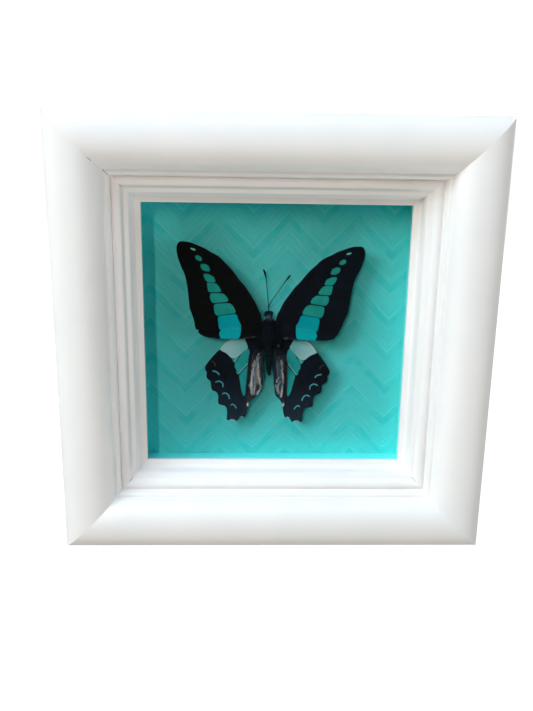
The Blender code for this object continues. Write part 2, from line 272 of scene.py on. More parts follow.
class Finish:
    """A material of nodes round one Principled shader."""

    def __init__(self, name, **sockets):
        self.material = bpy.data.materials.new(name)
        self.material.use_nodes = True
        self.tree = self.material.node_tree
        self.shader = self.tree.nodes["Principled BSDF"]
        for key, value in sockets.items():
            self.shader.inputs[key.replace("_", " ")].default_value = value
        self.place = self.node("ShaderNodeTexCoord").outputs["Object"]

    def node(self, kind, inputs=(), **settings):
        return add_node(self.tree, kind, inputs, **settings)

    def set(self, socket, value):
        feed(self.tree, self.shader.inputs[socket], value)

    def math(self, operation, a, b=0.0, c=0.0):
        return self.node("ShaderNodeMath", {0: a, 1: b, 2: c}, operation=operation).outputs[0]

    def step(self, value, low, high, to_low=0.0, to_high=1.0):
        """Rises smoothly from to_low to to_high as the value goes from low to high."""
        ends = {0: value, 1: low, 2: high, 3: to_low, 4: to_high}
        return self.node("ShaderNodeMapRange", ends, interpolation_type="SMOOTHSTEP").outputs[0]

    def mix(self, share, a, b, blend="MIX"):
        """The first colour, with this share of the second one over it."""
        mixed = self.node("ShaderNodeMix", {0: share, 6: a, 7: b}, data_type="RGBA", blend_type=blend)
        return mixed.outputs[2]

    def stretched(self, scale, turn=(0, 0, 0)):
        """Object coordinates drawn out to a grain: scale is per metre along each axis."""
        mapping = self.node("ShaderNodeMapping", {"Vector": self.place, "Rotation": turn, "Scale": scale})
        return mapping.outputs[0]

    def noise(self, scale, detail=3.0, roughness=0.55, place=None):
        ends = {"Vector": place or self.place, "Scale": scale, "Detail": detail, "Roughness": roughness}
        return self.node("ShaderNodeTexNoise", ends).outputs["Fac"]

    def axes(self):
        split = self.node("ShaderNodeSeparateXYZ", {0: self.place})
        return split.outputs[0], split.outputs[1], split.outputs[2]

    def attribute(self, name, output="Fac"):
        return self.node("ShaderNodeAttribute", attribute_name=name).outputs[output]

    def bump(self, height, distance, strength=1.0, over=None):
        ends = {"Height": height, "Distance": distance, "Strength": strength}
        if over is not None:
            ends["Normal"] = over
        return self.node("ShaderNodeBump", ends).outputs[0]


# Where the paint is cracked along a mitre, in mm from the middle of the frame: low x, high x, low z, high z
CRACKED_MITRES = [
    (-66.4, -65.4, 64, 67), (-62.6, -61.0, 60, 63), (-57.6, -56.9, 56, 58.5),
    (-57.5, -56.6, -58, -56), (56.2, 57.4, -58, -54),
]


def mitre_cracks(f, x, up, off_mitre):
    """Tiny ragged gaps in the paint along the mitres, 1 at the middle of a gap and 0 outside it."""
    ragged = f.math("MULTIPLY_ADD", f.noise(1400, 2.0), 0.5 * MM, -0.17 * MM)
    reach = f.math("SUBTRACT", f.math("ABSOLUTE", off_mitre), ragged)
    cracks = 0.0
    for low_x, high_x, low_z, high_z in CRACKED_MITRES:
        inside = f.math("MULTIPLY", f.math("GREATER_THAN", x, low_x * MM), f.math("LESS_THAN", x, high_x * MM))
        inside = f.math("MULTIPLY", inside, f.math("GREATER_THAN", up, low_z * MM))
        inside = f.math("MULTIPLY", inside, f.math("LESS_THAN", up, high_z * MM))
        cracks = f.math("MAXIMUM", cracks, inside)
    return f.math("MULTIPLY", cracks, f.step(reach, 0.0, 0.1 * MM, 0.8, 0.0))


def crevice_painted_shade(f, x, up):
    """Painted shade in the inner crevice of the left and top rails, the side turned away from the light."""
    inwards = f.math("SUBTRACT", HALF, f.math("MAXIMUM", f.math("ABSOLUTE", x), f.math("ABSOLUTE", up)))
    off_crevice = f.math("ABSOLUTE", f.math("SUBTRACT", inwards, CREVICE * MM))
    crevice_shade = f.step(off_crevice, 0.1 * MM, 0.8 * MM, 0.85, 0.0)
    return f.math("MULTIPLY", crevice_shade, f.step(f.math("SUBTRACT", up, x), 0.0, 12 * MM))


def white_paint():
    """Satin white paint brushed along each rail, a little thin on the back and cracked at three mitres, with
    painted shade in the left and top crevices.
    """
    f = Finish("white satin paint", Roughness=0.42, IOR=1.46)
    x, y, z = f.axes()
    up = f.math("SUBTRACT", z, HALF)
    off_mitre = f.math("SUBTRACT", f.math("ABSOLUTE", x), f.math("ABSOLUTE", up))
    upright = f.math("GREATER_THAN", off_mitre, 0.0)
    along_x = f.noise(1.0, 4.0, 0.6, f.stretched((90, 2600, 2600)))
    along_z = f.noise(1.0, 4.0, 0.6, f.stretched((2600, 2600, 90)))
    brushed = f.node("ShaderNodeMix", {0: upright, 2: along_x, 3: along_z}).outputs[0]
    peel = f.noise(900, 3.0)
    cloud = f.noise(35, 2.0)
    mottled = f.mix(f.step(cloud, 0.35, 0.7), srgb(241, 240, 238), srgb(237, 237, 236))
    cracks = mitre_cracks(f, x, up, off_mitre)
    # painted shade: the inner crevice of the left and top rails is greyed where the light does not reach
    mottled = f.mix(crevice_painted_shade(f, x, up), mottled, srgb(208, 212, 208))
    painted = f.mix(cracks, mottled, srgb(92, 84, 78))
    # the back has one thin coat, with the wood showing through the brush marks
    back = f.step(y, BACK_Y - 0.6 * MM, BACK_Y - 0.1 * MM)
    bare = f.math("MULTIPLY", back, f.step(brushed, 0.45, 0.75))
    f.set("Base Color", f.mix(f.math("MULTIPLY", bare, 0.35), painted, srgb(204, 190, 170)))
    satin = f.math("MULTIPLY_ADD", brushed, 0.5, f.math("MULTIPLY", peel, 0.5))
    f.set("Roughness", f.step(satin, 0.3, 0.7, 0.36, 0.5))
    strokes = f.bump(brushed, 0.02 * MM, 0.12)
    orange_peel = f.bump(peel, 0.03 * MM, 0.2, strokes)
    f.set("Normal", f.bump(f.math("MULTIPLY", cracks, -1.0), 0.3 * MM, 1.0, orange_peel))
    return f.material


def picture_glass():
    """Clear picture glass, very faintly wavy."""
    f = Finish("picture glass", Base_Color=(0.985, 1.0, 0.993, 1), Roughness=0.0, IOR=1.5, Transmission_Weight=1.0)
    f.set("Normal", f.bump(f.noise(25, 1.0), 0.01 * MM, 0.2))
    return f.material


def paper_surface(f, colour):
    """Fibres, flecks and tooth of a matt craft paper over its colour."""
    fibre = f.noise(1.0, 5.0, 0.7, f.stretched((900, 900, 2600), (0, 0.6, 0)))
    tooth = f.noise(5200, 2.0)
    cloud = f.noise(70, 3.0)
    value = f.math("MULTIPLY_ADD", fibre, 0.10, 0.90)
    value = f.math("MULTIPLY_ADD", cloud, 0.10, value)
    grey = f.node("ShaderNodeCombineColor", {0: value, 1: value, 2: value}).outputs[0]
    f.set("Base Color", f.mix(1.0, colour, grey, "MULTIPLY"))
    height = f.math("MULTIPLY_ADD", fibre, 0.6, f.math("MULTIPLY", tooth, 0.4))
    f.set("Roughness", f.step(fibre, 0.3, 0.7, 0.78, 0.9))
    f.set("Normal", f.bump(height, 0.03 * MM, 0.5))


TURQUOISE = srgb(103, 243, 241)
# The printed zigzag: the height from one row to the next, the width from peak to peak, where a peak is, and the
# slope of its legs. Then the middle and half width of its darker band and its light line, as shares of a row
ZIGZAG_PITCH = 14.1 * MM
ZIGZAG_PERIOD = 28.0 * MM
ZIGZAG_PEAK_X = 5.2 * MM
ZIGZAG_SLOPE = 1.05
BAND_MIDDLE, BAND_HALF = 0.25, 0.125
LINE_MIDDLE, LINE_HALF = 0.44, 0.035


def zigzag_paper():
    """Turquoise paper printed tone on tone with rows of zigzag."""
    f = Finish("turquoise zigzag paper", Roughness=0.85)
    x, _, z = f.axes()
    from_peak = f.math("PINGPONG", f.math("SUBTRACT", x, ZIGZAG_PEAK_X), ZIGZAG_PERIOD / 2)
    waver = f.math("MULTIPLY_ADD", f.noise(120, 2.0), 0.8 * MM, -0.4 * MM)
    height = f.math("ADD", f.math("SUBTRACT", z, HALF), waver)
    height = f.math("MULTIPLY_ADD", from_peak, ZIGZAG_SLOPE, height)
    phase = f.math("FLOORED_MODULO", f.math("DIVIDE", height, ZIGZAG_PITCH), 1.0)
    off_band = f.math("ABSOLUTE", f.math("SUBTRACT", phase, BAND_MIDDLE))
    band = f.step(off_band, BAND_HALF - 0.03, BAND_HALF + 0.03, 1.0, 0.0)
    off_line = f.math("ABSOLUTE", f.math("SUBTRACT", phase, LINE_MIDDLE))
    light_line = f.step(off_line, LINE_HALF - 0.015, LINE_HALF + 0.015, 1.0, 0.0)
    patchy = f.step(f.noise(150, 4.0, 0.65), 0.36, 0.66, 0.1, 1.0)
    darker = f.mix(f.math("MULTIPLY", band, patchy), TURQUOISE, srgb(74, 235, 234))
    colour = f.mix(f.math("MULTIPLY", light_line, 0.6), darker, srgb(114, 248, 246))
    # fine pale creases that run along the legs of the zigzag
    across, along = f.math("MULTIPLY", height, 1500), f.math("MULTIPLY", from_peak, 110)
    rubbed = f.noise(1.0, 3.0, 0.6, f.node("ShaderNodeCombineXYZ", {0: across, 1: along}).outputs[0])
    colour = f.mix(f.step(rubbed, 0.3, 0.6, 0.5, 0.0), colour, srgb(90, 229, 228))
    colour = f.mix(f.step(rubbed, 0.54, 0.74, 0.0, 0.55), colour, srgb(140, 254, 251))
    paper_surface(f, colour)
    return f.material


def plain_paper():
    """The same turquoise paper, wrapped round the spacer strips."""
    f = Finish("turquoise plain paper", Roughness=0.85)
    paper_surface(f, f.mix(f.noise(40, 2.0), TURQUOISE, srgb(107, 245, 243)))
    return f.material


def brown_board():
    """Pressed brown fibreboard."""
    f = Finish("brown fibreboard", Roughness=0.8)
    fibres = f.noise(1.0, 6.0, 0.75, f.stretched((500, 900, 1400), (0, 0.5, 0)))
    flecks = f.noise(3200, 3.0, 0.7)
    base = f.mix(f.step(fibres, 0.3, 0.7), srgb(122, 88, 58), srgb(168, 128, 90))
    f.set("Base Color", f.mix(f.step(flecks, 0.62, 0.74), base, srgb(92, 64, 42)))
    f.set("Roughness", f.step(fibres, 0.3, 0.7, 0.72, 0.9))
    f.set("Normal", f.bump(f.math("ADD", fibres, flecks), 0.08 * MM, 0.5))
    return f.material


def metal(name, bright, dull, roughness, grain):
    """Sheet metal, brushed along its grain and a little tarnished."""
    f = Finish(name, Metallic=1.0, Roughness=roughness)
    brushed = f.noise(1.0, 4.0, 0.6, f.stretched(grain))
    tarnish = f.noise(180, 4.0, 0.65)
    f.set("Base Color", f.mix(f.step(tarnish, 0.45, 0.75), bright, dull))
    f.set("Roughness", f.step(brushed, 0.25, 0.75, roughness - 0.08, roughness + 0.12))
    f.set("Normal", f.bump(brushed, 0.01 * MM, 0.5))
    return f.material


def pale_foam():
    """Fine-celled pale foam of the mounting pad."""
    f = Finish("pale foam", Roughness=0.9)
    cells = f.node("ShaderNodeTexVoronoi", {"Vector": f.place, "Scale": 2600}).outputs["Distance"]
    f.set("Base Color", f.mix(f.step(cells, 0.1, 0.5), srgb(196, 194, 184), srgb(224, 222, 212)))
    f.set("Normal", f.bump(cells, 0.1 * MM, 0.6))
    return f.material


def scale_field(f, along):
    """The dusty sheen of wing scales: fine grain, and rays drawn out along the wing."""
    grain = f.noise(5200, 2.0, 0.6)
    rays = f.noise(1.0, 3.0, 0.6, f.stretched(*along))
    cloud = f.noise(190, 3.0, 0.6)
    return grain, rays, cloud


def dark_wing(f, grain, rays, cloud, warm, cool):
    """Blackish ground of a wing, brown to blue-black, with paler dusting along the rays."""
    ground = f.mix(f.step(cloud, 0.35, 0.7), warm, cool)
    dust = f.math("MULTIPLY", f.step(rays, 0.45, 0.8), f.step(grain, 0.35, 0.75))
    return f.mix(f.math("MULTIPLY", dust, 0.35), ground, srgb(46, 48, 52))


def wing_relief(f, grain, rays):
    """The fine relief of rows of scales."""
    height = f.math("MULTIPLY_ADD", rays, 0.6, f.math("MULTIPLY", grain, 0.4))
    f.set("Normal", f.bump(height, 0.04 * MM, 0.35))


def forewing_scales(name, along, warm, cool):
    """Black wing with a band of glassy green to cyan cells, parted by thin veins."""
    f = Finish(name, Roughness=0.6, Specular_IOR_Level=0.2)
    grain, rays, cloud = scale_field(f, along)
    ground = dark_wing(f, grain, rays, cloud, warm, cool)
    veins = f.step(f.attribute("vein"), 0.10, 0.34, 1.0, 0.0)
    ground = f.mix(f.math("MULTIPLY", veins, 0.1), ground, srgb(44, 40, 40))
    edge = f.math("MULTIPLY_ADD", grain, 0.16, f.attribute("cells"))
    inside = f.step(edge, -0.02, 0.18, 1.0, 0.0)
    tone = f.attribute("tone")
    green = f.mix(f.step(cloud, 0.3, 0.7), srgb(34, 158, 143), srgb(46, 176, 162))
    cyan = f.mix(f.step(rays, 0.3, 0.75), srgb(2, 168, 184), srgb(8, 192, 200))
    pale = srgb(116, 226, 212)
    cell = f.mix(f.step(tone, 0.35, 0.65), green, cyan)
    cell = f.mix(f.step(tone, 1.1, 1.4, 0.0, 0.5), cell, srgb(14, 204, 210))
    cell = f.mix(f.step(tone, -0.5, -0.9), cell, pale)
    cell = f.mix(f.step(grain, 0.3, 0.9, 0.0, 0.2), cell, srgb(36, 196, 190))
    gap = f.step(f.attribute("gap"), 0.02, 0.17)
    marked = f.mix(f.math("MULTIPLY", inside, gap), ground, cell)
    thread = f.math("MULTIPLY", inside, f.step(f.attribute("thread"), 0.03, 0.2, 0.5, 0.0))
    marked = f.mix(thread, marked, srgb(120, 190, 186))
    f.set("Base Color", marked)
    f.set("Roughness", f.step(inside, 0, 1, 0.62, 0.48))
    wing_relief(f, grain, rays)
    return f.material


def hindwing_scales(name, along, warm, cool):
    """Black scalloped wing with a pale patch partly tinted by painted see-through light, green cells, cyan
    crescents and pale fringes in its notches.
    """
    f = Finish(name, Roughness=0.6, Specular_IOR_Level=0.2)
    grain, rays, cloud = scale_field(f, along)
    ground = dark_wing(f, grain, rays, cloud, warm, cool)
    ground = f.mix(f.step(f.attribute("low"), 0.0, 1.0, 0.0, 0.7), ground, srgb(46, 58, 71))
    veins = f.step(f.attribute("vein"), 0.10, 0.34, 1.0, 0.0)
    ground = f.mix(f.math("MULTIPLY", veins, 0.12), ground, srgb(54, 54, 56))
    green = f.mix(f.step(cloud, 0.3, 0.7), srgb(32, 162, 158), srgb(48, 178, 174))
    soft = f.math("MULTIPLY", grain, 0.16)
    in_green = f.step(f.math("ADD", f.attribute("green"), soft), -0.02, 0.18, 1.0, 0.0)
    marked = f.mix(in_green, ground, green)
    # the patch's pale colour is partly its own and partly painted light: the turquoise of the lit paper seen
    # through it
    patch_with_painted_see_through = f.mix(f.step(f.attribute("pearl_tone"), 0.0, 1.0), srgb(113, 198, 196), srgb(172, 226, 226))
    patch_with_painted_see_through = f.mix(f.step(rays, 0.35, 0.75, 0.0, 0.25), patch_with_painted_see_through, srgb(190, 232, 230))
    in_patch = f.step(f.math("ADD", f.attribute("patch"), soft), -0.02, 0.2, 1.0, 0.0)
    marked = f.mix(in_patch, marked, patch_with_painted_see_through)
    rim = f.step(f.attribute("rim"), 0.12, 0.42, 1.0, 0.0)
    marked = f.mix(f.math("MULTIPLY", rim, 0.8), marked, srgb(236, 230, 202))
    threads = f.step(f.attribute("thread"), 0.05, 0.26, 0.7, 0.0)
    marked = f.mix(threads, marked, srgb(186, 222, 216))
    crescents = f.step(f.attribute("crescent"), 0.12, 0.38, 1.0, 0.0)
    marked = f.mix(crescents, marked, srgb(84, 186, 192))
    tan_arc = f.step(f.attribute("tan_arc"), 0.1, 0.4, 0.6, 0.0)
    marked = f.mix(tan_arc, marked, srgb(92, 84, 76))
    fringe = f.step(f.attribute("fringe"), 0.16, 0.42, 1.0, 0.0)
    marked = f.mix(fringe, marked, srgb(240, 244, 238))
    fold = f.step(f.attribute("fold"), -0.3, 0.8, 1.0, 0.0)
    marked = f.mix(fold, marked, f.mix(f.step(rays, 0.35, 0.7), srgb(40, 46, 54), srgb(66, 72, 80)))
    f.set("Base Color", marked)
    f.set("Roughness", f.step(in_patch, 0, 1, 0.62, 0.5))
    wing_relief(f, grain, rays)
    return f.material


def body_skin():
    """Dark ringed skin, dusted with grey-blue scales."""
    f = Finish("insect skin", Roughness=0.55, Specular_IOR_Level=0.3)
    grain = f.noise(4200, 3.0, 0.6)
    cloud = f.noise(600, 3.0, 0.6)
    base = f.mix(f.step(cloud, 0.35, 0.7), srgb(9, 11, 14), srgb(13, 18, 25))
    f.set("Base Color", f.mix(f.step(grain, 0.5, 0.8, 0.0, 0.4), base, srgb(26, 34, 42)))
    f.set("Normal", f.bump(f.math("ADD", grain, cloud), 0.06 * MM, 0.6))
    return f.material


def eye_shell():
    """Faceted compound eye, dark and glossy, its blue-teal facets partly a painted glint."""
    f = Finish("compound eye", Roughness=0.25, Coat_Weight=0.5, Coat_Roughness=0.15)
    facets = f.node("ShaderNodeTexVoronoi", {"Vector": f.place, "Scale": 14000}).outputs["Distance"]
    # the blue-teal facets are partly the eye's own colour and partly a painted glint of light
    f.set("Base Color", f.mix(f.step(facets, 0.1, 0.6), srgb(13, 52, 76), srgb(7, 20, 32)))
    f.set("Normal", f.bump(facets, 0.02 * MM, 0.4))
    return f.material


def hair_fibre():
    """Hair whose colour is its own from root to tip."""
    f = Finish("insect hair", Roughness=0.5, Specular_IOR_Level=0.35)
    streak = f.noise(3000, 2.0)
    tint = f.attribute("hair_tint", "Color")
    f.set("Base Color", f.mix(f.step(streak, 0.3, 0.7, 0.0, 0.15), tint, srgb(18, 20, 24)))
    return f.material


def antenna_skin():
    """Thin dark feeler, ringed along its length."""
    f = Finish("feeler", Roughness=0.5)
    _, _, z = f.axes()
    rings = f.math("FRACT", f.math("MULTIPLY", z, 1 / (0.45 * MM)))
    f.set("Base Color", f.mix(f.step(rings, 0.6, 0.95), srgb(10, 11, 14), srgb(26, 28, 32)))
    f.set("Normal", f.bump(rings, 0.02 * MM, 0.5))
    return f.material


# ---------------------------------------------------------------- the moulding


def arc(centre, radii, start, end, steps):
    """Points on a quarter of an ellipse, both ends included, angles in degrees."""
    points = []
    for k in range(steps + 1):
        angle = math.radians(start + (end - start) * k / steps)
        points.append((centre[0] + radii[0] * math.cos(angle), centre[1] + radii[1] * math.sin(angle)))
    return points


def moulding_section():
    """The rail's section (u, v), from the rabbet round the outside to the sight edge."""
    foot = (19.6, -1.0)
    groove = (21.7, -4.4)
    step_foot = (25.6, -6.0)
    cove_top = (27.9, -8.4)
    rabbet = RAIL_WIDTH - LIP_OVERLAP
    bead_reach = groove[0] - foot[0]
    step_reach = step_foot[0] - groove[0]
    cove_centre = (cove_top[0] + 1.2, cove_top[1])
    points = [(rabbet, -SIDE_DEPTH), (0.0, -SIDE_DEPTH)]
    points += arc((CREST_IN, 0), (CREST_IN, CREST_HEIGHT), 180, 90, 26)
    points += arc((CREST_IN, foot[1]), (foot[0] - CREST_IN, CREST_HEIGHT - foot[1]), 90, 0, 26)[1:]
    points += arc((foot[0] + 0.4 * bead_reach, groove[1]), (0.6 * bead_reach, foot[1] - groove[1]), 90, 0, 10)
    step_rise = groove[1] + 0.6 - step_foot[1]
    points += arc((groove[0] + 0.3 * step_reach, step_foot[1]), (0.7 * step_reach, step_rise), 90, 0, 12)
    points += [(cove_top[0] - 0.5, -6.9), cove_top]
    points += arc(cove_centre, (1.2, SIGHT_DROP - 0.5 + cove_top[1]), 180, 270, 10)[1:]
    lip_back = -SIGHT_DROP - LIP_THICKNESS
    points += [(RAIL_WIDTH, -SIGHT_DROP), (RAIL_WIDTH, lip_back), (rabbet, lip_back)]
    return points


def ease_long_edges(rail):
    """Opens the rail's two ends and rounds its sharp edges, so that the rounding runs on into the mitres."""
    with editing(rail, "FACE"):
        bpy.ops.mesh.select_all(action="DESELECT")
        bpy.ops.object.mode_set(mode="OBJECT")
        for face in rail.data.polygons:
            face.select = abs(face.normal.x) > 0.9
        bpy.ops.object.mode_set(mode="EDIT")
        bpy.ops.mesh.delete(type="FACE")
        bpy.ops.mesh.select_mode(type="EDGE")
        bpy.ops.mesh.select_all(action="DESELECT")
        bpy.ops.mesh.edges_select_sharp(sharpness=math.radians(24))
        bpy.ops.mesh.bevel(offset=0.28 * MM, segments=3, profile=0.5, clamp_overlap=True)


def cut_mitre(rail, side):
    with editing(rail, "FACE"):
        bpy.ops.mesh.bisect(plane_co=(side * HALF, 0, 0), plane_no=(side, 0, 1), use_fill=True, clear_outer=True)


def build_moulding(paint):
    """The bottom rail, run long, eased and mitred, and the three others copied from it round the middle."""
    margin = 2 * MM
    points = [(-HALF - margin, EDGE_Y - v * MM, u * MM) for u, v in moulding_section()]
    rail = drawn_plate("moulding_bottom", points)
    extrude_plate(rail, (2 * (HALF + margin), 0, 0))
    ease_long_edges(rail)
    cut_mitre(rail, -1)
    cut_mitre(rail, 1)
    face_outwards(rail)
    shade(rail, 30)
    apply_modifier(rail, "WEIGHTED_NORMAL", keep_sharp=True, weight=80)
    rail.data.materials.append(paint)
    for turns, name in enumerate(("moulding_left", "moulding_top", "moulding_right"), 1):
        about_middle = Matrix.Translation((0, 0, HALF)) @ Matrix.Rotation(math.radians(90 * turns), 4, "Y")
        reshape(copy_piece(rail, name), about_middle @ Matrix.Translation((0, 0, -HALF)))
    for name in ("bottom", "left", "top", "right"):
        piece = bpy.data.objects["moulding_" + name]
        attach(piece, "root")
        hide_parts("rail_" + name)


# ---------------------------------------------------------------- what the moulding holds


def fitted(name, node, material, bevel, segments=3):
    """A flat piece in the place that its node holds."""
    low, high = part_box(node)
    piece = box_piece(name, low, high, bevel, segments)
    piece.data.materials.append(material)
    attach(piece, "root")
    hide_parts(node)
    return piece


def build_glass():
    pane = fitted("glass_pane", "glass", picture_glass(), bevel=0.15 * MM)
    pane.visible_shadow = False


def build_papers():
    fitted("zigzag_card", "patterned_card", zigzag_paper(), bevel=0.1 * MM)
    paper = plain_paper()
    for side in ("bottom", "top", "left", "right"):
        fitted("wrapped_spacer_" + side, "spacer_" + side, paper, bevel=0.2 * MM)


def build_back():
    """The back board, the four flexible points that hold it in, and the hanger's own finishes."""
    fitted("fibre_back_board", "back_board", brown_board(), bevel=0.3 * MM)
    steel = metal("bare steel", srgb(222, 222, 220), srgb(186, 184, 180), roughness=0.35, grain=(300, 300, 2600))
    brass = metal("brass plate", srgb(236, 206, 138), srgb(206, 168, 100), roughness=0.28, grain=(200, 2400, 2400))
    for side in ("bottom", "top", "left", "right"):
        fitted("flexible_tab_" + side, "tab_" + side, steel, bevel=0.18 * MM, segments=2)
    for name, finish in (("sawtooth_hanger", brass), ("hanger_nail_left", steel), ("hanger_nail_right", steel)):
        for slot in frame["nodes"][name].material_slots:
            slot.material = finish


def build_pad():
    pad = fitted("foam_mounting_pad", "mounting_pad", pale_foam(), bevel=0.4 * MM)


# ---------------------------------------------------------------- the butterfly's wings
# Places on a wing are in mm, on the right side: x out from the insect's middle line, z up from the frame's middle

FOREWING = [
    (3.0, 8.0), (4, 10.1), (5.2, 12.6), (6.7, 14.9), (8.2, 17), (10, 19.4), (12, 21.5), (14, 24), (16, 26.2),
    (18, 28), (20, 29.9), (22, 31.1), (24, 32), (26, 33.1), (28, 33.9), (30, 34.6), (32, 35.2), (34, 35.4),
    (35.4, 35.4), (36.4, 34.9), (37, 33.6), (37.1, 32), (36.7, 30), (36, 27.8), (35, 25.4), (34, 23.5),
    (33.2, 21.4), (32.7, 19), (32.2, 16.5), (31.9, 14), (31.5, 11.5), (31.2, 9.4), (30.4, 7.4), (29.5, 5),
    (28.4, 2.5), (27.2, 0.1), (26.9, -0.3), (26.3, -0.8), (26.2, -1.2), (24.5, -1.8), (22, -2.1), (19, -2.2),
    (15, -2.1), (12, -2.0), (8, -1.8), (3.4, -2.2), (2.0, -0.4), (2.0, 3.6),
]
# The left forewing is nicked at its lower corner: these points stand in for the corner's own
NICKED_FROM, NICKED_TO = 34, 39
NICK = [(28.6, 1.3), (27.5, 0.9), (27.5, -0.1), (26.4, -1.0)]
CELLS = [
    # outline, tone: -1 the palest, 0 green, 1 cyan, 1.5 bright cyan
    ([(29.5, 32.4), (30.2, 33.0), (31.3, 33.2), (31.95, 32.9), (31.2, 32.3), (30.1, 32.05)], -1),
    ([(26.9, 28.8), (27.5, 29.9), (28.9, 30.5), (29.8, 30.1), (29.7, 29.0), (28.6, 28.2), (27.4, 28.1)], -0.3),
    ([(23.7, 24.9), (24.3, 26.5), (25.8, 27.3), (27.4, 27.2), (27.7, 26.2), (26.9, 24.8), (25.4, 24.3),
      (24.0, 24.3)], 0),
    ([(21.4, 20.8), (22.2, 22.4), (24.2, 23.4), (26.1, 23.5), (26.4, 22.6), (25.4, 20.8), (24.5, 20.2),
      (21.8, 20.1)], 0),
    ([(19, 17), (20, 18.7), (21, 19.7), (22, 20), (24.6, 20.1), (24.9, 19.8), (24.4, 17), (23.9, 16.2),
      (19.6, 16.4)], 0),
    ([(16, 13.4), (16.8, 14.9), (18.4, 16.1), (23, 16), (23.5, 15.2), (23.4, 13.6), (22.6, 12.2), (21.8, 12),
      (16.6, 12.7)], 0),
    ([(13, 9.3), (14, 11.2), (15.2, 12.2), (16.4, 12.4), (21.2, 11.8), (21.8, 11.2), (21.7, 9.3), (21.2, 7.7),
      (20.4, 7), (13.2, 8.4)], 0.1),
    ([(10.6, 3.9), (11.6, 5.4), (12.3, 7.6), (13.2, 8.2), (19.8, 7), (20, 5.8), (19.6, 3), (19.3, 1.8),
      (18.6, 1.2), (10.5, 2.6)], 1),
    ([(10.5, 2.7), (10.6, 0), (10.8, -1.1), (12, -2.4), (18.4, -2.6), (19.2, -0.6), (19.1, 0.4),
      (18.6, 1.3)], 1.5),
]
CELL_INSET = 0.06
FOREWING_GAPS = [
    [(20.4, 20.3), (22, 20.05), (24.6, 20.15), (26.2, 20.3)],
    [(17.8, 16.5), (19.6, 16.25), (23.5, 16.1), (25, 16.1)],
    [(15.5, 12.8), (16.6, 12.55), (21.8, 11.9), (23.2, 11.9)],
    [(12.3, 8.5), (13.2, 8.3), (20.2, 6.95), (21.2, 6.9)],
]
FOREWING_THREADS = [[(10.2, 2.5), (14, 2.4), (17, 1.8), (18.8, 1.1), (19.6, 0.9)]]
FOREWING_VEINS = [
    [(3.4, 7.4), (9, 16.5), (16, 24.5), (24, 31.0), (30, 33.8), (35.4, 34.9)],
    [(3.2, 6.4), (10, 14.5), (17, 22.4), (21.5, 26.6), (27, 31.3), (33, 34.2)],
    [(3.2, 5.0), (9.0, 10.6), (14.8, 16.6), (18.6, 22.4), (21.5, 26.6)],
    [(21.5, 26.6), (26.4, 30.4), (29.6, 31.4), (36.9, 33.2)],
    [(20.6, 25.6), (26.0, 27.5), (29.0, 28.0), (36.4, 29.2)],
    [(19.8, 24.2), (23.6, 23.9), (27.2, 24.0), (34.6, 24.8)],
    [(18.6, 22.4), (21.6, 20.1), (25.0, 20.2), (33.0, 20.3)],
    [(16.6, 19.3), (19.2, 16.4), (23.9, 16.1), (32.2, 16.2)],
    [(13.6, 15.4), (16.2, 12.6), (22.3, 11.9), (31.6, 12.0)],
    [(10.0, 11.6), (13.0, 8.4), (20.6, 6.9), (30.3, 7.6)],
    [(3.2, 3.0), (10.4, 2.5), (18.8, 1.1), (27.6, 1.6)],
    [(3.2, 1.4), (10.5, -0.6), (20, -1.2), (26, -0.9)],
]
HINDWING = [
    (1.4, -11.0), (1.3, -7.6), (1.6, -4.0), (3.0, -1.8), (6.5, -1.4), (10.3, -1.7), (12, -2.0), (14, -2.2),
    (15.5, -2.9), (17, -4.2), (18.3, -5.7), (19.3, -7.1), (20.5, -8.5), (21.7, -10.1), (22.8, -11.6),
    (23.9, -13.3), (24.8, -15), (24.9, -15.8), (24.5, -16.7), (24, -17.5), (24.1, -18.9), (23.6, -20),
    (22.4, -20.9), (22, -21.7), (21.8, -23.3), (21.2, -24.6), (19.8, -25.2), (19, -25.9), (18.5, -27.2),
    (18.4, -29.6), (17.7, -30.5), (16.2, -30.8), (15.2, -31.2), (14.6, -32.2), (14.3, -34), (14.2, -36.6),
    (13.5, -37.2), (12.7, -36.9), (11.8, -36.6), (10.8, -36.9), (10.1, -37.2), (9.5, -36.6), (8.8, -35.4),
    (8.2, -35), (7.3, -35.2), (6.7, -34.4), (6.3, -33), (6, -31), (5.8, -29.8), (5.7, -29), (5.3, -28.2),
    (4.4, -26.9), (3.5, -26), (2.8, -25), (2.5, -23.5), (2.3, -21.5), (2, -18), (1.6, -14),
]
PEARL_PATCH = [
    (10.2, -1.4), (12, -1.6), (14.5, -2.0), (15.8, -2.8), (17.3, -4.2), (18.8, -5.9), (19.5, -7.1), (19, -7.8),
    (17, -8.7), (16, -9.4), (15.2, -10.1), (14.3, -10.6), (13.6, -10.6), (12.2, -10), (11, -8.6), (9.8, -6.9),
    (8.6, -5.9), (8.4, -5.3), (9, -4), (9.8, -2.4),
]
GREEN_CELLS = [
    [(12.2, -10.2), (13.6, -10.8), (14.3, -11), (13.5, -12), (13.1, -12.3), (12.6, -12), (11.6, -10.2)],
    [(8.1, -6.1), (8.9, -6.3), (10.3, -8), (11.3, -9.8), (11.9, -11.3), (12.8, -12.5), (12.9, -14), (12.1, -15.5),
     (11.9, -16.7), (11.3, -16.9), (10.6, -16.2), (9, -13.9), (7.5, -12), (7.2, -10.5), (7.2, -8.5), (7.6, -7)],
    [(7.5, -12.4), (8.6, -14.2), (10.6, -17), (10.7, -18), (10.2, -20), (9.5, -23), (8.7, -25.2), (8.1, -25.9),
     (7.6, -25.2), (7.4, -22), (7.3, -17), (7.3, -13.5)],
]
PEARL_RIM = [(14.4, -2.2), (15.6, -2.9), (17.1, -4.3), (18.5, -5.9), (19.3, -7.0)]
HINDWING_THREADS = [
    [(8.6, -5.8), (10.6, -8.0), (12.8, -10.4), (13.2, -12)],
    [(7.7, -12), (9.4, -14.4), (11.2, -16.9)],
]
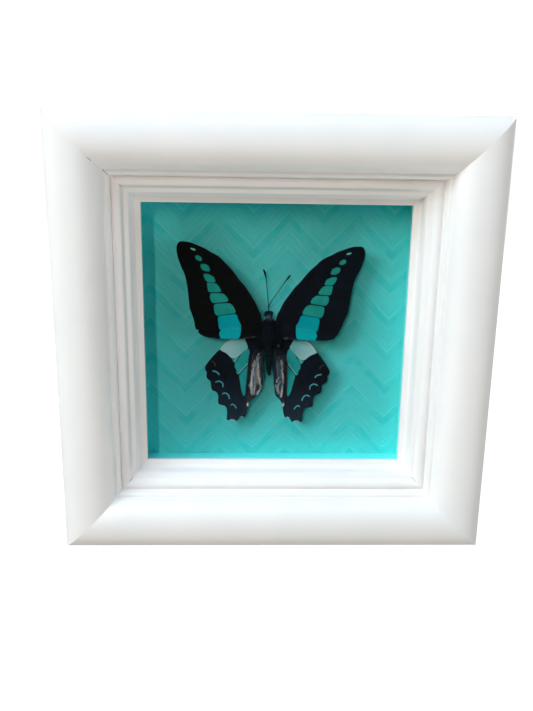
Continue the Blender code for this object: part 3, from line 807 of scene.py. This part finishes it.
CRESCENTS = [
    [(19, -17.9), (19.6, -17.2), (20.5, -16.8), (21.5, -16.6)],
    [(17, -22.8), (17.1, -21.7), (17.9, -20.9), (19, -20.7), (20, -21.2)],
    [(13.9, -27.6), (14.3, -26.4), (15.2, -25.6), (16.2, -25.5), (16.8, -25.9)],
    [(10.8, -31.4), (11.3, -30.6), (12.2, -29.9), (12.9, -30.3)],
]
TAN_ARCS = [[(20.8, -14.5), (21.2, -13.3), (22.5, -12.6)]]
FRINGES = [
    [(12.9, -37.1), (12.3, -36.8), (11.4, -36.8), (10.7, -37.05)],
    [(8.6, -35.4), (8.1, -35.1), (7.6, -35.2)],
    [(4.9, -26.9), (5.6, -28.1), (6.0, -29.1), (6.1, -30.0)],
    [(5.2, -26.9), (5.9, -28.2), (6.3, -29.4)],
]
HINDWING_VEINS = [
    [(3.6, -3.4), (9, -3.2), (15, -4.6), (20, -9.4), (24.4, -15.8)],
    [(3.6, -4.0), (8.5, -6.0), (14.5, -10.6), (20, -15.6), (24, -19.4)],
    [(12.9, -10.6), (16.4, -16.6), (21.8, -23.2)],
    [(12.9, -12.6), (14.6, -19.0), (18.4, -28.4)],
    [(11.9, -16.8), (13.2, -23.0), (14.3, -32.8)],
    [(3.2, -4.6), (7.6, -12.0), (10.9, -17.2), (11.6, -25), (11.8, -35.8)],
    [(3.0, -5.0), (6.9, -12), (7.2, -20), (7.6, -27), (8.2, -34.4)],
]
FOLD_ZONE = [
    (1.2, -5), (4.4, -5.5), (6.2, -10), (7.0, -15), (7.2, -21), (6.9, -26), (5.6, -29), (3.6, -27.4), (1.8, -25),
    (1.2, -15),
]
# The left wings are set a little higher than the right ones: turn in degrees, about a point, then a shift
STRAIGHT_SET = (0.0, (0.0, 0.0), (0.0, 0.0))
LEFT_FOREWING_SET = (2.5, (15.0, 0.0), (0.9, 0.4))
LEFT_HINDWING_SET = (5.0, (8.0, -3.0), (0.0, 0.0))
# The hindwing's inner fold: its crest's place out from the middle line, its half width and its height
FOLD_CREST, FOLD_HALF, FOLD_RISE = 4.6, 1.9, 0.7
# How far apart a wing sheet is cut across, both ways, in mm
GRID_STEP = 0.21


def line_distance(places, line):
    """How far each place is from a line of points, in mm."""
    points = np.array([tuple(p) for p in line], float)
    best = np.full(len(places), 1e9)
    for a, b in zip(points, points[1:]):
        along = b - a
        t = np.clip(((places - a) @ along) / max(along @ along, 1e-9), 0, 1)
        best = np.minimum(best, np.linalg.norm(places - a - t[:, None] * along, axis=1))
    return best


def lines_distance(places, lines, steps=5):
    """How far each place is from the nearest of these flowing lines, in mm."""
    best = np.full(len(places), 1e9)
    for line in lines:
        best = np.minimum(best, line_distance(places, smooth_line(line, steps)))
    return best


def zone_distance(places, outline, steps=5):
    """Distance to the outline's edge in mm, negative inside it."""
    ring = [tuple(p) for p in smooth_line(outline, steps, closed=True)]
    edge = line_distance(places, ring + ring[:1])
    inside = np.zeros(len(places), bool)
    x, z = places[:, 0], places[:, 1]
    for (x0, z0), (x1, z1) in zip(ring, ring[1:] + ring[:1]):
        if z0 == z1:
            continue
        crosses = (z0 > z) != (z1 > z)
        inside ^= crosses & (x < (x1 - x0) * (z - z0) / (z1 - z0) + x0)
    return np.where(inside, -edge, edge)


def write_field(mesh, name, values):
    """Keeps one number a vertex, for the wing's material to read."""
    field = mesh.attributes.new(name, "FLOAT", "POINT")
    field.data.foreach_set("value", np.asarray(values, np.float32))


def wing_places(mesh):
    """Each vertex's (x, z) on the wing, in mm."""
    flat = np.empty(len(mesh.vertices) * 3, np.float32)
    mesh.vertices.foreach_get("co", flat)
    return flat.reshape(-1, 3)[:, (0, 2)].astype(float) / MM


def wing_sheet(name, outline):
    """A thin sheet of the wing's outline, cut across both ways so that it can be shaped."""
    ring = smooth_line(outline, 4, closed=True)
    sheet = drawn_plate(name, [(p[0] * MM, 0, p[1] * MM) for p in ring])
    low = [min(p[k] for p in ring) for k in (0, 1)]
    high = [max(p[k] for p in ring) for k in (0, 1)]
    mesh = bmesh.new()
    mesh.from_mesh(sheet.data)
    for axis, normal in ((0, (1, 0, 0)), (1, (0, 0, 1))):
        cuts = int((high[axis] - low[axis]) / GRID_STEP)
        for k in range(1, cuts + 1):
            at = (low[axis] + k * GRID_STEP) * MM
            bmesh.ops.bisect_plane(
                mesh,
                geom=mesh.verts[:] + mesh.edges[:] + mesh.faces[:],
                plane_co=[c * at for c in normal],
                plane_no=normal,
            )
    mesh.to_mesh(sheet.data)
    mesh.free()
    return sheet


def forewing_fields(mesh):
    """The forewing's markings, as each vertex's distance in mm from each of them."""
    places = wing_places(mesh)
    cells = np.full(len(places), 1e9)
    tone = np.zeros(len(places))
    for outline, value in CELLS:
        reach = zone_distance(places, outline, 1) + CELL_INSET
        tone = np.where(reach < cells, value, tone)
        cells = np.minimum(cells, reach)
    write_field(mesh, "cells", cells)
    write_field(mesh, "tone", tone)
    for name, lines in (("gap", FOREWING_GAPS), ("thread", FOREWING_THREADS), ("vein", FOREWING_VEINS)):
        write_field(mesh, name, lines_distance(places, lines))


def hindwing_fields(mesh):
    """The hindwing's markings, and how far down and across the wing each vertex is."""
    places = wing_places(mesh)
    x, z = places[:, 0], places[:, 1]
    write_field(mesh, "patch", zone_distance(places, PEARL_PATCH))
    write_field(mesh, "pearl_tone", (x - 9.5 - 0.5 * (z + 4)) / 9.5)
    write_field(mesh, "green", np.min([zone_distance(places, cell) for cell in GREEN_CELLS], axis=0))
    for name, lines in (
        ("rim", [PEARL_RIM]), ("thread", HINDWING_THREADS), ("crescent", CRESCENTS), ("tan_arc", TAN_ARCS),
        ("fringe", FRINGES), ("vein", HINDWING_VEINS),
    ):
        write_field(mesh, name, lines_distance(places, lines))
    write_field(mesh, "fold", zone_distance(places, FOLD_ZONE))
    write_field(mesh, "low", np.clip((-16 - z) / 20, 0, 1))


def fore_lift(places):
    """How far the forewing stands towards the viewer: veins, pleats between them, and a slow bow."""
    x, z = places[:, 0], places[:, 1]
    vein = lines_distance(places, FOREWING_VEINS)
    ridge = 0.07 * np.exp(-((vein / 0.28) ** 2))
    pleat = -0.09 * np.clip(vein, 0, 2) / 2
    bow = 0.5 * np.sin(np.clip(x / 37, 0, 1) * math.pi) * 0.6 + 0.25 * np.sin(z / 9.0 + 0.6)
    return ridge + pleat + bow


def hind_lift(places):
    """The hindwing's veins and pleats, and its inner fold curled up beside the abdomen."""
    x, z = places[:, 0], places[:, 1]
    vein = lines_distance(places, HINDWING_VEINS)
    ridge = 0.06 * np.exp(-((vein / 0.28) ** 2))
    pleat = -0.1 * np.clip(vein, 0, 2) / 2
    fold = np.exp(-(((x - FOLD_CREST) / FOLD_HALF) ** 2)) * np.clip((-z - 4) / 6, 0, 1)
    return ridge + pleat + FOLD_RISE * fold + 0.2 * np.sin(z / 6.0)


def lift_sheet(sheet, lift):
    rise = lift(wing_places(sheet.data)) * MM
    for vertex, forward in zip(sheet.data.vertices, rise):
        vertex.co.y = -forward


def wing_place(side, setting, y):
    """Where a wing's sheet goes: mirrored for the left side, turned and shifted by its setting."""
    degrees, pivot, shift = setting
    turn = math.radians(degrees)
    at = Matrix.Translation((pivot[0] * MM, 0, pivot[1] * MM))
    about = at @ Matrix.Rotation(-turn, 4, "Y") @ at.inverted()
    moved = Matrix.Translation((shift[0] * MM, 0, shift[1] * MM)) @ about
    mirror = Matrix.Diagonal((side, 1, 1, 1))
    scale = Matrix.Diagonal((SPECIMEN_SCALE, 1, SPECIMEN_SCALE, 1))
    return Matrix.Translation((SPECIMEN_X, y, SPECIMEN_Z)) @ scale @ mirror @ moved


def build_wing(name, node, outline, fields, lift, place, material):
    sheet = wing_sheet(name, outline)
    fields(sheet.data)
    lift_sheet(sheet, lift)
    reshape(sheet, place)
    face_viewer(sheet)
    apply_modifier(sheet, "SOLIDIFY", thickness=WING_THICKNESS, offset=0)
    shade(sheet)
    sheet.data.materials.append(material)
    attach(sheet, "root")
    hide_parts(node)
    return sheet


def build_wings():
    """The four wings, the forewings over the hindwings; only the hindwings' pieces are returned."""
    ray = (700, 700, 3600)
    black, blue_black = srgb(19, 21, 25), srgb(19, 27, 38)
    left_black, brown_black = srgb(14, 14, 15), srgb(17, 17, 14)
    left_outline = FOREWING[:NICKED_FROM] + NICK + FOREWING[NICKED_TO:]
    build_wing(
        "right_forewing", "forewing_right", FOREWING, forewing_fields, fore_lift,
        wing_place(1, STRAIGHT_SET, OVER_Y),
        forewing_scales("right forewing scales", (ray, (0, 0.9, 0)), black, blue_black),
    )
    build_wing(
        "left_forewing", "forewing_left", left_outline, forewing_fields, fore_lift,
        wing_place(-1, LEFT_FOREWING_SET, OVER_Y),
        forewing_scales("left forewing scales", (ray, (0, -0.9, 0)), left_black, brown_black),
    )
    hindwings = []
    for word, side, setting in (("right", 1, STRAIGHT_SET), ("left", -1, LEFT_HINDWING_SET)):
        scales = hindwing_scales(word + " hindwing scales", (ray, (0, -side * 0.9, 0)), black, blue_black)
        wing = build_wing(
            word + "_hindwing", "hindwing_" + word, HINDWING, hindwing_fields, hind_lift,
            wing_place(side, setting, UNDER_Y), scales,
        )
        hindwings.append(wing)
    return hindwings


# ---------------------------------------------------------------- hair

SILVER = (202, 218, 222)
WHITE_HAIR = (252, 255, 253)
LILAC_GREY = (94, 102, 114)
DUSKY_HAIR = (48, 55, 64)
DARK_HAIR = (32, 36, 42)
BROWN_HAIR = (58, 52, 52)
TAN_HAIR = (214, 194, 166)
BLUE_GREY = (112, 146, 170)
# Each streak of long hair over a hindwing's inner fold, x out from the insect's middle line: its line, half its
# width, its colour and its count. The broad dull coats come first and the narrow bright streaks after them
RIGHT_FOLD_HAIR = [
    ([(2.5, -6.5), (2.3, -12), (2.6, -18), (3.0, -22.5), (4.2, -26.5)], 0.5, DUSKY_HAIR, 260),
    ([(4.0, -6.0), (4.2, -9), (4.4, -12)], 1.0, DARK_HAIR, 200),
    ([(4.0, -8.5), (4.2, -12), (4.6, -18), (4.6, -26)], 1.0, LILAC_GREY, 400),
    ([(6.4, -8), (6.6, -15), (6.7, -21), (6.6, -27)], 0.6, BROWN_HAIR, 260),
    ([(3.2, -11), (3.3, -14), (3.5, -18)], 0.15, BLUE_GREY, 40),
    ([(5.6, -10), (5.7, -13), (5.8, -15.6)], 0.14, BLUE_GREY, 50),
    ([(4.8, -10.0), (5.0, -12), (5.2, -14), (5.2, -15.6), (5.95, -17.4), (6.0, -20), (5.5, -22.5), (5.1, -26)],
     0.34, SILVER, 300),
    ([(5.2, -13.4), (5.3, -15), (5.6, -17), (5.9, -19)], 0.34, WHITE_HAIR, 100),
    ([(5.3, -16.2), (4.3, -17.6), (3.4, -19.0), (2.9, -20.3)], 0.18, SILVER, 120),
    ([(5.0, -19.0), (3.9, -20.8), (3.9, -22.9), (4.5, -24.8)], 0.26, SILVER, 150),
    ([(3.1, -20.5), (3.3, -22.4), (4.2, -25.2)], 0.26, SILVER, 110),
    ([(5.4, -22.5), (5.3, -24.4), (5.0, -26.4)], 0.36, WHITE_HAIR, 100),
]
LEFT_FOLD_HAIR = [
    ([(3.4, -8.0), (2.8, -13), (2.6, -18), (3.2, -21.5), (4.6, -25)], 0.4, DUSKY_HAIR, 220),
    ([(4.6, -6.0), (5.0, -9), (5.4, -12)], 1.0, DARK_HAIR, 160),
    ([(4.8, -8.5), (5.4, -12), (5.7, -17), (5.6, -22), (6.4, -26)], 1.1, LILAC_GREY, 400),
    ([(6.8, -9), (7.6, -14), (7.9, -19), (8.0, -24)], 0.5, BROWN_HAIR, 200),
    ([(7.6, -7.5), (8.1, -12), (8.4, -17), (8.7, -21.5), (9.0, -25.5)], 0.35, DARK_HAIR, 180),
    ([(4.8, -9), (5.3, -12), (5.6, -17), (5.7, -22)], 0.6, BLUE_GREY, 240),
    ([(5.8, -10.3), (6.4, -12), (7.0, -13.9)], 0.22, TAN_HAIR, 60),
    ([(4.6, -13), (4.6, -16.5), (4.4, -18.6), (4.0, -21.2)], 0.6, TAN_HAIR, 260),
    ([(5.6, -15), (5.6, -20), (5.8, -22.5), (6.1, -25.5)], 0.4, WHITE_HAIR, 190),
    ([(3.0, -21.0), (3.3, -22.4), (4.0, -23.7), (5.0, -25.6)], 0.36, WHITE_HAIR, 200),
    ([(4.1, -7.6), (4.6, -9.6), (5.2, -11.6), (6.2, -13.9), (6.7, -16.9), (7.1, -19.7), (6.9, -23), (6.8, -25.4)],
     0.46, WHITE_HAIR, 430),
    ([(4.7, -9.7), (4.6, -13.5), (4.2, -17.3), (3.6, -20.1), (3.0, -21.6)], 0.36, WHITE_HAIR, 200),
    ([(7.2, -20.2), (7.9, -21.0), (8.6, -21.8)], 0.14, WHITE_HAIR, 30),
]


class Hair:
    """Thin blades gathered into one mesh, each with its own colour."""

    def __init__(self):
        self.corners = []
        self.faces = []
        self.tints = []

    def strand(self, line, width, tint, across):
        """A blade along the line, widest at its root, lying across the given direction."""
        first = len(self.corners)
        for k, point in enumerate(line):
            share = 1 - 0.85 * k / (len(line) - 1)
            self.corners += [point - across * width * share / 2, point + across * width * share / 2]
            self.tints += [tint, tint]
        for k in range(len(line) - 1):
            a = first + 2 * k
            self.faces.append((a, a + 1, a + 3, a + 2))

    def piece(self, name, material):
        mesh = bpy.data.meshes.new(name)
        mesh.from_pydata([tuple(c) for c in self.corners], [], self.faces)
        colours = mesh.color_attributes.new("hair_tint", "FLOAT_COLOR", "POINT")
        colours.data.foreach_set("color", np.array(self.tints, np.float32).ravel())
        mesh.materials.append(material)
        made = bpy.data.objects.new(name, mesh)
        bpy.context.scene.collection.objects.link(made)
        shade(made)
        return made


def vary(dice, colour, spread):
    """A colour lightened or darkened by chance."""
    gain = 1 + spread * (2 * dice.random() - 1)
    return srgb(*[min(255, max(0, c * gain)) for c in colour])


def fold_hair(streaks, place, lean, seed):
    """Long hair combed down a wing's inner fold, whose crest runs outwards by the lean as it goes down."""
    dice = np.random.default_rng(seed)
    hair = Hair()
    for line, half_width, colour, count in streaks:
        path = smooth_line(line, 10)
        for _ in range(count):
            start = int(dice.random() * (len(path) - 8))
            run = 5 + int(dice.random() * 10)
            aside = half_width * dice.normal() * 0.55
            drift = 0.25 * dice.normal()
            rise = 0.15 + 0.55 * dice.random()
            steps = path[start : start + run : 2]
            if len(steps) < 3:
                continue
            points = []
            for k, p in enumerate(steps):
                share = k / (len(steps) - 1)
                x = p[0] + aside + drift * share
                crest = FOLD_CREST - lean * (p[1] + 3)
                fold = math.exp(-(((x - crest) / FOLD_HALF) ** 2)) * min(1, max(0, (-p[1] - 4) / 6))
                lift = FOLD_RISE * fold + rise * (0.6 + 0.5 * math.sin(share * math.pi))
                points.append(place @ Vector((x * MM, -lift * MM, p[1] * MM)))
            tint = vary(dice, colour, 0.3)
            hair.strand(points, (0.07 + 0.07 * dice.random()) * MM, tint, Vector((1, 0, 0)))
    return hair


# ---------------------------------------------------------------- the body

# The pale lines along the lower edges of the forewings' roots
ROOT_LINES = [
    [(-10.9, -1.4), (-9.3, -1.15), (-7.0, -0.85), (-5.2, -0.4)],
    [(10.8, -1.7), (8.5, -1.55), (6.5, -1.2), (5.4, -1.5)],
]
# Small pale tufts at the wing roots, and the grey crown of the head: middle, count, colour, spread
TUFTS = [
    (-6.2, -0.6, 10, (84, 90, 98), 0.4),
    (6.6, -1.0, 22, (120, 122, 138), 0.35),
    (3.6, -4.2, 16, (90, 98, 106), 0.3),
    (-0.5, 7.6, 150, (70, 96, 110), 0.62),
    (-0.8, 7.6, 34, (122, 134, 144), 0.25),
    (0.4, 6.9, 40, (56, 66, 78), 0.4),
    (-0.6, 5.6, 10, (86, 96, 104), 0.2),
]
# The body's depth from front to back as a share of its width, and its abdomen's rings, in mm
BODY_FLATNESS = 0.72
RING_PITCH, RING_SWELL = 1.75, 0.045
BODY_PROFILE = [
    # height along the body and radius there, from the head down
    (9.7, 0.0), (9.5, 0.8), (9.0, 1.35), (8.2, 1.72), (7.4, 1.6), (6.8, 1.3), (6.3, 1.6), (5.5, 2.4), (4.4, 2.8),
    (3.0, 3.0), (1.4, 3.05), (-0.2, 2.95), (-1.6, 2.65), (-2.8, 2.25), (-4.0, 1.9), (-6.0, 1.7), (-9.0, 1.6),
    (-12.0, 1.4), (-14.4, 1.1), (-16.0, 0.75), (-16.8, 0.4), (-17.1, 0.0),
]


def build_trunk(skin):
    """Head, thorax and ringed abdomen, turned from one profile and then given their own shapes."""
    line = smooth_line([(r, h) for h, r in BODY_PROFILE], 5)
    points = [(max(p[0], 0) * MM, 0, p[1] * MM) for p in line]
    trunk = drawn_plate("trunk", points)
    with editing(trunk):
        bpy.ops.mesh.delete(type="ONLY_FACE")
        bpy.ops.mesh.select_all(action="SELECT")
        bpy.ops.mesh.spin(steps=40, angle=math.tau, center=(0, 0, 0), axis=(0, 0, 1))
        bpy.ops.mesh.select_all(action="SELECT")
        bpy.ops.mesh.remove_doubles(threshold=0.004 * MM)
        bpy.ops.mesh.delete_loose()
    for vertex in trunk.data.vertices:
        x, y, z = vertex.co / MM
        if z < -3.6:
            ring = 1 + RING_SWELL * math.cos(z * math.tau / RING_PITCH)
            x, y = x * ring, y * ring
        y *= BODY_FLATNESS
        if z > 6.0:
            x -= 0.45 * min(1, (z - 6.0) / 1.5)
        if -2.5 < z < 6.2:
            y += 0.12 * math.exp(-((x / 0.25) ** 2)) * (1 if y < 0 else 0)
        vertex.co = Vector((x, y, z)) * MM
    face_outwards(trunk)
    shade(trunk)
    trunk.data.materials.append(skin)
    return trunk


def ball(name, centre, radii, material):
    """An eye or the crown, each a flattened ball sunk in the head."""
    deselect()
    bpy.ops.mesh.primitive_uv_sphere_add(segments=28, ring_count=16, radius=1, location=(0, 0, 0))
    made = bpy.context.object
    made.name = name
    with editing(made):
        bpy.ops.transform.resize(value=[r * MM for r in radii], center_override=(0, 0, 0))
        bpy.ops.transform.translate(value=[c * MM for c in centre])
    shade(made)
    made.data.materials.append(material)
    return made


def comb_trunk(hair, dice):
    """Short fur of the thorax and abdomen, combed backwards; the abdomen's fur carries painted shade of the card
    behind it.
    """
    heights = np.array([h for h, _ in BODY_PROFILE[::-1]])
    radii = np.array([r for _, r in BODY_PROFILE[::-1]])
    for _ in range(3400):
        z = dice.uniform(-16.6, 6.2) if dice.random() < 0.45 else dice.uniform(-4.0, 6.2)
        radius = float(np.interp(z, heights, radii))
        angle = dice.uniform(-1.75, 1.75)
        out = Vector((math.sin(angle), -BODY_FLATNESS * math.cos(angle), 0))
        root = out * radius * 0.97 + Vector((0, 0, z))
        length = dice.uniform(0.7, 1.9) if z > -4 else dice.uniform(0.5, 1.1)
        comb = (out * dice.uniform(0.12, 0.5) + Vector((0.1 * dice.normal(), 0, -1.0))).normalized()
        line = [root + comb * length * t - out * 0.12 * length * t * t for t in (0, 0.35, 0.7, 1)]
        pale = dice.random() < 0.12
        if z > -4:
            colour = (64, 70, 82) if pale else (17, 22, 29)
        else:
            # painted shade: the abdomen's fur takes the dark teal of the shaded card seen between its hairs,
            # palest at its sides
            colour = (38, 92, 98) if pale or abs(angle) > 1.2 else (27, 48, 54)
        across = Vector((math.cos(angle), math.sin(angle), 0))
        hair.strand([p * MM for p in line], dice.uniform(0.06, 0.11) * MM, vary(dice, colour, 0.35), across)


def comb_roots(hair, dice):
    """Fur that runs out over the wings' roots."""
    for _ in range(2600):
        side = -1 if dice.random() < 0.5 else 1
        z = dice.uniform(-5.4, 5.8)
        start = Vector((side * dice.uniform(1.5, 4.4), -1.05 + dice.uniform(-0.35, 0.25), z))
        reach = dice.uniform(1.0, 2.6)
        aim = Vector((side * dice.uniform(0.15, 0.9), 0.12, -dice.uniform(0.3, 0.9))).normalized()
        line = [start + aim * reach * t + Vector((0, 0.35 * t * t, 0)) for t in (0, 0.33, 0.66, 1)]
        tint = vary(dice, (16, 19, 24) if dice.random() < 0.93 else (46, 52, 62), 0.35)
        across = Vector((-aim.z, 0, aim.x)).normalized()
        hair.strand([p * MM for p in line], dice.uniform(0.07, 0.13) * MM, tint, across)


def line_roots(hair, dice):
    for route in ROOT_LINES:
        for _ in range(6):
            aside = Vector((0, -1.45 - 0.15 * dice.random(), 0.16 * dice.normal()))
            line = [Vector((x, 0, z)) + aside for x, z in route]
            hair.strand([p * MM for p in line], 0.07 * MM, vary(dice, (84, 90, 100), 0.4), Vector((0, 0, 1)))


def set_tufts(hair, dice):
    for x, z, count, colour, spread in TUFTS:
        for _ in range(count):
            y = -1.55 if z > 5 else -1.3
            start = Vector((x + spread * dice.normal(), y, z + spread * 0.8 * dice.normal()))
            aim = Vector((0.3 * dice.normal(), -0.12, -1)).normalized()
            line = [start + aim * 0.7 * t for t in (0, 0.5, 1)]
            hair.strand([p * MM for p in line], 0.09 * MM, vary(dice, colour, 0.3), Vector((1, 0, 0)))


def body_hair(seed):
    dice = np.random.default_rng(seed)
    hair = Hair()
    for lay in (comb_trunk, comb_roots, line_roots, set_tufts):
        lay(hair, dice)
    return hair


def build_body():
    skin, eye = body_skin(), eye_shell()
    parts = [
        build_trunk(skin),
        ball("eye_left", (-1.25, -0.45, 8.7), (0.95, 0.9, 0.95), eye),
        ball("eye_right", (0.5, -0.45, 8.7), (0.95, 0.9, 0.95), eye),
        ball("crown", (-0.37, -0.4, 9.2), (0.95, 0.85, 0.62), skin),
        body_hair(11).piece("fur", hair_fibre()),
    ]
    body = join(parts, "furred_body")
    reshape(body, Matrix.Translation((SPECIMEN_X, BODY_Y, SPECIMEN_Z)) @ Matrix.Scale(SPECIMEN_SCALE, 4))
    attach(body, "root")
    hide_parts("butterfly_body")


ANTENNAE = {
    # side: points from the head out, (x, z, radius)
    "left": [(-0.45, 9.3, 0.16), (-0.42, 11.2, 0.15), (-0.65, 13.2, 0.14), (-0.95, 16.3, 0.14), (-1.3, 19.6, 0.15),
             (-1.65, 22.6, 0.21), (-2.0, 24.3, 0.36), (-2.4, 25.5, 0.42), (-2.7, 26.1, 0.2)],
    "right": [(-0.35, 9.3, 0.16), (-0.28, 11.2, 0.15), (0.3, 12.8, 0.14), (1.9, 15.4, 0.14), (4.2, 18.8, 0.15),
              (5.8, 21.1, 0.21), (6.8, 22.4, 0.36), (7.5, 23.4, 0.42), (7.9, 24.0, 0.16)],
}


def build_antenna(side, skin):
    """A feeler drawn out of a circle, length by length, swelling to its club."""
    route = smooth_line(ANTENNAE[side], 5)
    deselect()
    bpy.ops.mesh.primitive_circle_add(vertices=12, radius=route[0][2] * MM, fill_type="NGON")
    feeler = named(bpy.context.object, "feeler_" + side)
    with editing(feeler):
        bpy.ops.transform.translate(value=(route[0][0] * MM, 0, route[0][1] * MM))
        for here, there in zip(route, route[1:]):
            move = ((there[0] - here[0]) * MM, 0, (there[1] - here[1]) * MM)
            bpy.ops.mesh.extrude_region_move(TRANSFORM_OT_translate={"value": move})
            swell = there[2] / here[2]
            centre = (there[0] * MM, 0, there[1] * MM)
            bpy.ops.transform.resize(value=(swell, swell, 1), center_override=centre)
    face_outwards(feeler)
    reshape(feeler, Matrix.Translation((SPECIMEN_X, WING_Y, SPECIMEN_Z)) @ Matrix.Scale(SPECIMEN_SCALE, 4))
    shade(feeler)
    feeler.data.materials.append(skin)
    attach(feeler, "root")
    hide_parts("antenna_" + side)


def build_butterfly():
    right, left = build_wings()
    fur = hair_fibre()
    left_lean = math.tan(math.radians(LEFT_HINDWING_SET[0]))
    for wing, streaks, side, lean, seed in (
        (right, RIGHT_FOLD_HAIR, 1, 0.0, 21), (left, LEFT_FOLD_HAIR, -1, left_lean, 22),
    ):
        place = wing_place(side, STRAIGHT_SET, UNDER_Y)
        hair = fold_hair(streaks, place, lean, seed).piece(wing.name + "_hair", fur)
        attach(hair, "root")
    build_body()
    skin = antenna_skin()
    for side in ANTENNAE:
        build_antenna(side, skin)


# ---------------------------------------------------------------- the studio

LAMP_DISTANCE = 1.6
# Each soft lamp: its angle off the frame's own axis, its angle round that axis from the right over the top, its
# width in metres, its power and its colour
LAMPS = {
    # a bright curved window wall from the left round to above, and weak bounces from the right and below
    "window_main": (65, 150, 0.6, 13.3, (0.87, 0.945, 0.97)),
    "window_near": (50, 150, 0.6, 2.1, (0.9, 1.0, 0.98)),
    "window_high_near": (50, 120, 0.6, 2.8, (0.72, 0.87, 1.0)),
    "window_high": (65, 120, 0.6, 9.4, (0.7, 0.868, 1.0)),
    "overhead": (65, 90, 0.6, 6.1, (0.51, 0.744, 1.0)),
    "bounce_right": (75, 0, 0.6, 8.1, (0.9, 0.947, 1.0)),
    "bounce_below": (75, 270, 0.6, 9.1, (0.93, 0.98, 1.0)),
    # an upright strip of warm light: it casts a sharp shadow of the left lip and a soft one of the top lip
    "room_strip_145": (19.3, 145, 0.16, 1.95, (1.0, 0.74, 0.64)),
    "room_strip_127": (25.5, 127, 0.16, 1.95, (1.0, 0.74, 0.64)),
    "room_strip_118": (31.8, 118, 0.16, 1.95, (1.0, 0.74, 0.64)),
    # behind the frame, so that its back can be looked at
    "rear_fill": (140, 120, 1.0, 14.0, (1.0, 1.0, 1.0)),
    "rear_side": (125, 20, 1.0, 8.0, (1.0, 1.0, 1.0)),
}
ROOM_LIGHT = (0.14, 0.125, 0.085, 1)
DARK_ROOM = (0.004, 0.006, 0.008, 1)
STUDIO_BEHIND = (0.6, 0.61, 0.62, 1)
BACKDROP = (1.02, 1.02, 1.02, 1)
# The camera's place in metres, its turn in degrees and its lens in mm: close, a little above and to the left
CAMERA_PLACE = (-0.01138, -0.26214, 0.13857)
CAMERA_TURN = (76.34, -0.80, -1.56)
CAMERA_LENS = 34.28


def soft_lamp(name, off_axis, round_axis, size, power, colour):
    """A round soft lamp that faces the frame's middle and isn't itself seen."""
    off, turn = math.radians(off_axis), math.radians(round_axis)
    aim = Vector((math.sin(off) * math.cos(turn), -math.cos(off), math.sin(off) * math.sin(turn)))
    deselect()
    bpy.ops.object.light_add(type="AREA", location=Vector((0, 0, HALF)) + aim * LAMP_DISTANCE)
    lamp = bpy.context.object
    lamp.name = name
    lamp.rotation_euler = aim.to_track_quat("Z", "Y").to_euler()
    lamp.data.shape = "DISK"
    lamp.data.size = size
    lamp.data.energy = power
    lamp.data.color = colour
    lamp.visible_camera = False
    lamp.visible_glossy = False
    lamp.visible_transmission = False


def build_floor():
    """A plain pale floor that no lamp's bounce or shadow shows on."""
    deselect()
    bpy.ops.mesh.primitive_plane_add(size=6, location=(0, 0, -0.1 * MM))
    floor = bpy.context.object
    floor.name = "pale_floor"
    f = Finish("pale floor", Roughness=0.9, Emission_Strength=1.0)
    f.shader.inputs["Emission Color"].default_value = (1, 1, 1, 1)
    f.set("Base Color", f.mix(f.noise(3, 2.0), (0.22, 0.22, 0.22, 1), (0.25, 0.25, 0.25, 1)))
    floor.data.materials.append(f.material)
    floor.visible_diffuse = False
    floor.visible_glossy = False
    floor.visible_transmission = False
    floor.visible_shadow = False


def build_world():
    """A pale backdrop and weak room light. The glass mirrors a dark room, and metal on the back the studio."""
    world = bpy.data.worlds.new("studio")
    bpy.context.scene.world = world
    world.use_nodes = True
    tree = world.node_tree

    def mix(share, a, b):
        return add_node(tree, "ShaderNodeMix", {0: share, 6: a, 7: b}, data_type="RGBA").outputs[2]

    ray = add_node(tree, "ShaderNodeLightPath").outputs
    direction = add_node(tree, "ShaderNodeTexCoord").outputs["Generated"]
    backwards = add_node(tree, "ShaderNodeSeparateXYZ", {0: direction}).outputs[1]
    behind = add_node(tree, "ShaderNodeMapRange", {0: backwards, 1: -0.2, 2: 0.6}).outputs[0]
    ends = {0: ray["Is Glossy Ray"], 1: ray["Is Transmission Ray"]}
    mirrored = add_node(tree, "ShaderNodeMath", ends, operation="MAXIMUM").outputs[0]
    lit = mix(mirrored, ROOM_LIGHT, mix(behind, DARK_ROOM, STUDIO_BEHIND))
    feed(tree, tree.nodes["Background"].inputs[0], mix(ray["Is Camera Ray"], lit, BACKDROP))


def build_camera():
    deselect()
    turn = [math.radians(angle) for angle in CAMERA_TURN]
    bpy.ops.object.camera_add(location=CAMERA_PLACE, rotation=turn)
    camera = named(bpy.context.object, "camera")
    camera.data.lens = CAMERA_LENS
    camera.data.sensor_width = 36
    camera.data.clip_start = 0.01
    bpy.context.scene.camera = camera


def build_studio():
    build_floor()
    build_world()
    build_camera()
    bpy.context.scene.view_settings.view_transform = "Standard"
    for name, settings in LAMPS.items():
        soft_lamp(name, *settings)


build_moulding(white_paint())
build_glass()
build_papers()
build_back()
build_pad()
build_butterfly()
build_studio()
